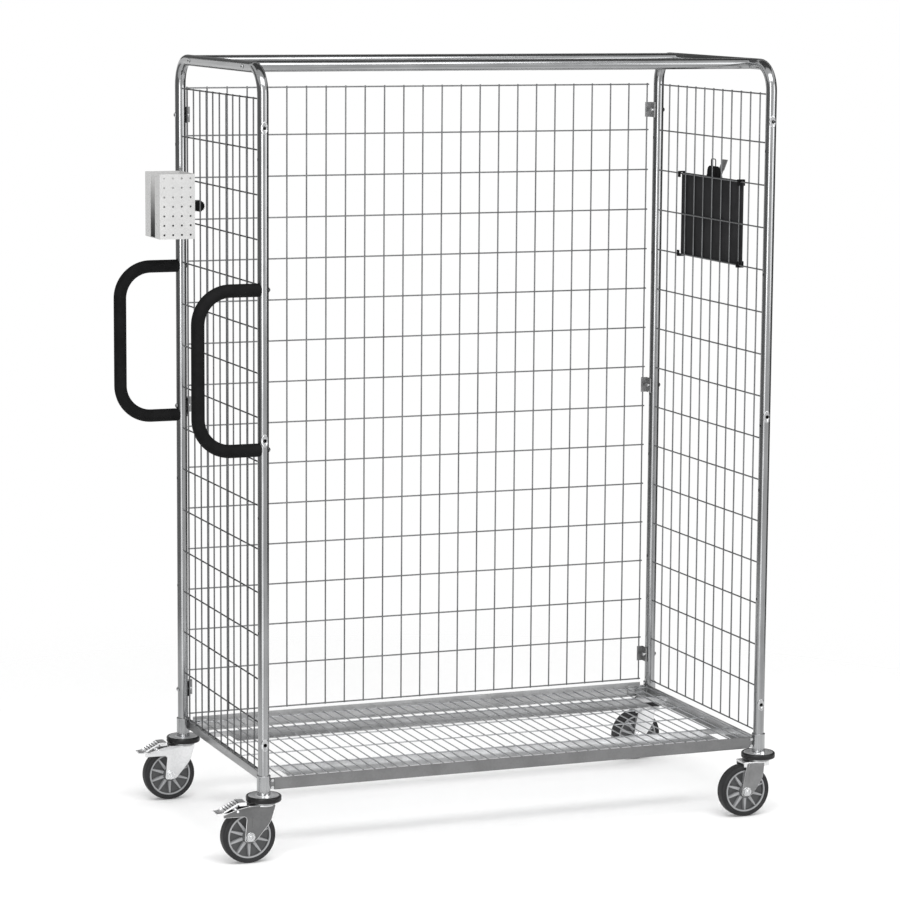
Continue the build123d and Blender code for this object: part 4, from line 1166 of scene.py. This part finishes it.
class TROLLEY_OT_pedals(Maker, bpy.types.Operator):
    """Presses the two brake pedals"""

    bl_idname = "trolley.pedals"
    bl_label = "Brake pedals"

    half_width = 18.0
    tread_edge = 0.8
    # Outlines from the swivel axis and the floor; the tread slopes between its third and fourth points
    tread = [
        (-46, 134.8, 0.6), (-46, 143.4, 1.6), (-62, 143.4, 3), (-104, 121.5, 5), (-115.8, 121.5, 1.2),
        (-115.8, 118.4, 1.2), (-104.6, 118.4, 5), (-64.5, 139.4, 2), (-62.2, 134.8, 0.6),
    ]
    web = [(-63, 139, 0), (-79, 131.6, 0), (-72.4, 121.6, 4), (-63.6, 121.6, 4)]
    web_half = 6.0
    web_edge = 0.6
    pin_place = Vector((-68, 0, 124))
    pin = [(0, -23.4), (2.4, -23.4), (3, -22.8), (3, 22.8), (2.4, 23.4), (0, 23.4)]
    # Ribs and rails of the tread, with their sections along and across the slope
    rib_place = Vector((-65.5, 0, 141.5))
    rib_rows = 6
    rib_pitch = 6.6
    rib_half = 15.4
    rib = [(0, -1.6, 0), (2.6, -1.6, 0), (2.2, 1.7, 0.6), (0.4, 1.7, 0.6)]
    rib_edge = 0.3
    rail_reach = 16.6
    rail_t = 2.2
    rail = [(2.5, -1.6, 0), (2.5, 1.2, 0.8), (-38, 1.2, 0.8), (-38, -1.6, 0)]
    rail_edge = 0.4
    # Painted light: how much lighter the pedals are painted than the plain sheet, a painted highlight, and
    # how much darker their ribs, a painted shade
    pedal_highlight_tone = 3.4
    rib_shade_tone = 0.45

    def make(self):
        for end in ENDS:
            foot = POSTS[end, "left"]
            mesh = bmesh.new()
            origin = foot + Y * self.half_width * MM
            plate(mesh, self.tread, origin, X, Z, 2 * self.half_width, self.tread_edge)
            plate(mesh, self.web, foot + Y * self.web_half * MM, X, Z, 2 * self.web_half, self.web_edge)
            lathe(mesh, self.pin, foot + self.pin_place * MM, Y, steps=24)
            self.ribs(mesh, foot + self.rib_place * MM)
            finishes = [sheet("pedal", self.pedal_highlight_tone), sheet("pedal_rib", self.rib_shade_tone)]
            piece(f"{end}_pedal_tread", mesh, finishes, f"{end}_pedal", "zinc_sheet", f"{end}_brake_pedal")

    def ribs(self, mesh, start):
        """Cross ribs of the tread and the two rails that close their ends."""
        heel, toe = self.tread[2:4]
        slope = Vector((toe[0] - heel[0], 0, toe[1] - heel[1])).normalized()
        lift = Vector((slope.z, 0, -slope.x))
        part = bmesh.new()
        for row in range(self.rib_rows):
            spot = start + slope * (row * self.rib_pitch) * MM + Y * self.rib_half * MM
            plate(part, self.rib, spot, -slope, lift, 2 * self.rib_half, self.rib_edge)
        # The ribs take the darker finish: painted shade
        second_finish(part)
        absorb(mesh, part)
        for hand in (-1, 1):
            near = start + Y * (hand * self.rail_reach + self.rail_t / 2) * MM
            plate(mesh, self.rail, near, -slope, lift, self.rail_t, self.rail_edge)


# Fittings


class TROLLEY_OT_grips(Maker, bpy.types.Operator):
    """Sleeves the two push handles with foam"""

    bl_idname = "trolley.grips"
    bl_label = "Hand grips"

    bend_r = 75.0
    end_round = 0.8
    post_gap = 0.4
    saddle_depth = 1.0

    def make(self):
        foam = grip_foam()
        turn = self.bend_r * MM
        cut = self.end_round * MM
        for end in ENDS:
            node = f"{end}_grip"
            low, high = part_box(node)
            radius = (high.y - low.y) / 2
            bar_x = low.x + radius
            arm_low, arm_high = low.z + radius, high.z - radius
            heel = Vector((high.x, (low.y + high.y) / 2, arm_low))
            arm = heel.x - cut - bar_x - turn
            mesh = bmesh.new()
            edges = ring(mesh, heel, -X, radius / MM - self.end_round)
            bmesh.ops.contextual_create(mesh, geom=edges)
            edges = run(mesh, edges, -X * cut, radius / (radius - cut))
            edges = run(mesh, edges, -X * arm)
            edges = bend(mesh, edges, Vector((bar_x + turn, heel.y, arm_low + turn)), Y, 90)
            edges = run(mesh, edges, Z * (arm_high - arm_low - 2 * turn))
            edges = bend(mesh, edges, Vector((bar_x + turn, heel.y, arm_high - turn)), Y, 90)
            edges = run(mesh, edges, X * arm)
            edges = run(mesh, edges, X * cut, (radius - cut) / radius)
            bmesh.ops.contextual_create(mesh, geom=edges)
            self.saddle(mesh, POSTS[end, "left"], heel.x)
            made = piece(f"{end}_grip_sleeve", mesh, [foam], "frame", "black_foam", node)

    def saddle(self, mesh, post, heel_x):
        """Hollows both ends of a sleeve to the round of the post."""
        round_r = TUBE_R + self.post_gap * MM
        for vert in mesh.verts:
            if vert.co.x > heel_x - self.saddle_depth * MM:
                reach = math.sqrt(max(0.0, round_r**2 - (vert.co.y - post.y) ** 2))
                vert.co.x -= max(0.0, reach - (post.x - heel_x))


class TROLLEY_OT_holder(Maker, bpy.types.Operator):
    """Finishes the holder box, its bracket and its clamp"""

    bl_idname = "trolley.holder"
    bl_label = "Holder box"

    # How deep a face lies below the outside before it counts as inside: on the slotted side and elsewhere
    slot_skin = 2.0
    wall_skin = 0.4
    # Knob: length of its grip, radius of its screw, and its flutes' depth, half widths, reach and rounds
    grip_l = 11.0
    screw_r = 2.95
    flute_depth = 3.4
    flute_half = (1.3, 1.0)
    flute_reach = (1.2, 10.0)
    flute_round = 0.7
    flute_edge = 0.4

    def make(self):
        paint = moulded("grey_paint", colours().paint, rough=0.42, grain=1100, depth=0.14, dust=0.04)
        dress(paint, "holder_box")
        self.inside()
        dress(sheet("bracket", 1.0), "holder_bracket", "holder_jaw")
        self.knob()

    def inside(self):
        """Gives the faces inside the box a coat with painted shade, darker towards the bottom."""
        low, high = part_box("holder_box")
        box = frame["nodes"]["holder_box"]
        box.data.materials.append(self.painted_shade(low, high))
        near = Vector((self.slot_skin, self.wall_skin, self.wall_skin)) * MM
        far = Vector((self.wall_skin, self.wall_skin, self.wall_skin)) * MM
        for face in box.data.polygons:
            spot = box.matrix_world @ face.center
            if min(*(spot - low - near), *(high - far - spot)) > 0:
                face.material_index = 1

    def painted_shade(self, low, high):
        """Painted shade inside the box: darker towards the bottom."""

        def build(finish):
            cloud = finish.noise(40, detail=4.0)
            # Painted shade: the colour darkens from the top of the box to its bottom
            depth = finish.band(finish.axis("Z") + cloud * 0.01, low.z, high.z)
            tint = colours().paint
            return {"Base Color": finish.mix(depth, shade(tint, 0.1), shade(tint, 0.9)), "Roughness": 0.6}

        return finished("shaded_paint", build)

    def knob(self):
        """A fluted knob on its screw, drawn along Y from its outer face."""
        low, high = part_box("holder_knob")
        centre = Vector(((low.x + high.x) / 2, low.y, (low.z + high.z) / 2))
        outer = (high.x - low.x) / 2 / MM
        long = (high.y - low.y) / MM
        tall = self.grip_l
        screw = self.screw_r
        profile = [
            (0, 0.9), (6.5, 0.9), (7.5, 0), (outer - 3.6, 0), (outer - 1.4, 1.4),
            (outer - 1.4, tall - 1), (outer - 2.4, tall), (4.4, tall), (screw, tall + 0.6),
            (screw, long - 0.6), (2.3, long), (0, long),
        ]
        mesh = bmesh.new()
        lathe(mesh, profile, centre, Y)
        root = outer - self.flute_depth
        wide, slim = self.flute_half
        turn = self.flute_round
        outline = [(-wide, root, 0), (wide, root, 0), (slim, outer, turn), (-slim, outer, turn)]
        start, stop = self.flute_reach
        flutes = bmesh.new()
        plate(flutes, outline, centre + Y * start * MM, Z, X, stop - start, self.flute_edge)
        repeat_round(flutes, centre, Y, sizes().knob_flutes)
        absorb(mesh, flutes)
        piece("clamp_knob_grip", mesh, [black_plastic()], "clamp_knob", "black_plastic", "holder_knob")


class TROLLEY_OT_clipboard(Maker, bpy.types.Operator):
    """Finishes the clipboard, its corner clips and its clamp"""

    bl_idname = "trolley.clipboard"
    bl_label = "Clipboard"

    corner_r = 7.0
    board_edge = 0.8
    # Clamp, from the middle of the board's top edge: cheeks beside the lever and the tab behind it
    clamp_gap = 0.1
    cheek_reach = (13.6, 38.6)
    cheek_height = (-38, 5)
    cheek_depth = 8.0
    cheek_edge = 3.2
    tab = [(-33, 2, 0.5), (33, 2, 0.5), (33, 24.8, 15), (-33, 24.8, 15)]
    tab_t = 4.6
    tab_edge = 1.6
    # How light the board looks against the black plastic, and the lever against the holder's paint
    board_tone = 3.4
    lever_tone = 0.25

    def make(self):
        dress(black_plastic(), "clipboard_corner_clips", "clamp_base")
        tint = tone(colours().paint, self.lever_tone)
        dress(moulded("lever_paint", tint, rough=0.5, grain=500, depth=0.3, dust=0.35), "clamp_lever")
        self.clamp_body()
        low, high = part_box("clipboard")
        wide = (high.y - low.y) / MM
        tall = (high.z - low.z) / MM
        turn = self.corner_r
        outline = [(0, 0, turn), (wide, 0, turn), (wide, tall, turn), (0, tall, turn)]
        mesh = bmesh.new()
        plate(mesh, outline, low, Y, Z, (high.x - low.x) / MM, self.board_edge)
        board = black_plastic("board_plastic", self.board_tone, rough=0.5)
        piece("clipboard_panel", mesh, [board], "frame", "black_plastic", "clipboard")

    def clamp_body(self):
        """Rounded cheeks beside the lever and a thick tab behind it."""
        low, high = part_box("clipboard")
        face = Vector((high.x / MM, (low.y + high.y) / 2 / MM, high.z / MM))
        foot, top = self.cheek_height
        mesh = bmesh.new()
        for hand in (-1, 1):
            start, stop = sorted(hand * reach for reach in self.cheek_reach)
            near = face + Vector((self.clamp_gap, start, foot))
            block(mesh, near, face + Vector((self.cheek_depth, stop, top)), self.cheek_edge)
        plate(mesh, self.tab, (face + X * self.clamp_gap) * MM, Y, Z, self.tab_t, self.tab_edge)
        piece("clamp_body", mesh, [black_plastic()], "frame", "black_plastic")


class TROLLEY_OT_fasteners(Maker, bpy.types.Operator):
    """Finishes the bolts of the frame and the shelf"""

    bl_idname = "trolley.fasteners"
    bl_label = "Fasteners"

    def make(self):
        dress(bright_steel(), "frame_bolts", "shelf_bolts")


# The add-on's list of operators, its panel and its registration

OPERATORS = (
    TROLLEY_OT_stage, TROLLEY_OT_tubes, TROLLEY_OT_wire_panels, TROLLEY_OT_shelf, TROLLEY_OT_sockets,
    TROLLEY_OT_bumpers, TROLLEY_OT_forks, TROLLEY_OT_axles, TROLLEY_OT_wheels, TROLLEY_OT_pedals,
    TROLLEY_OT_grips, TROLLEY_OT_holder, TROLLEY_OT_clipboard, TROLLEY_OT_fasteners,
)


class TROLLEY_PT_panel(bpy.types.Panel):
    """Lists the trolley's sizes, colours and pieces"""

    bl_label = "Order Picking Trolley"
    bl_idname = "TROLLEY_PT_panel"
    bl_space_type = "VIEW_3D"
    bl_region_type = "UI"
    bl_category = "Trolley"

    def draw(self, context):
        for group in (context.scene.trolley_sizes, context.scene.trolley_colours):
            column = self.layout.column(align=True)
            for name in group.bl_rna.properties.keys():
                if name not in {"rna_type", "name"}:
                    column.prop(group, name)
        for operator in OPERATORS:
            self.layout.operator(operator.bl_idname)


CLASSES = (TrolleySizes, TrolleyColours, *OPERATORS, TROLLEY_PT_panel)


def register():
    for item in CLASSES:
        bpy.utils.register_class(item)
    bpy.types.Scene.trolley_sizes = PointerProperty(type=TrolleySizes)
    bpy.types.Scene.trolley_colours = PointerProperty(type=TrolleyColours)


def unregister():
    del bpy.types.Scene.trolley_colours
    del bpy.types.Scene.trolley_sizes
    for item in reversed(CLASSES):
        bpy.utils.unregister_class(item)


def main():
    register()
    for operator in OPERATORS:
        group, name = operator.bl_idname.split(".")
        getattr(getattr(bpy.ops, group), name)()


if __name__ == "__main__":
    main()
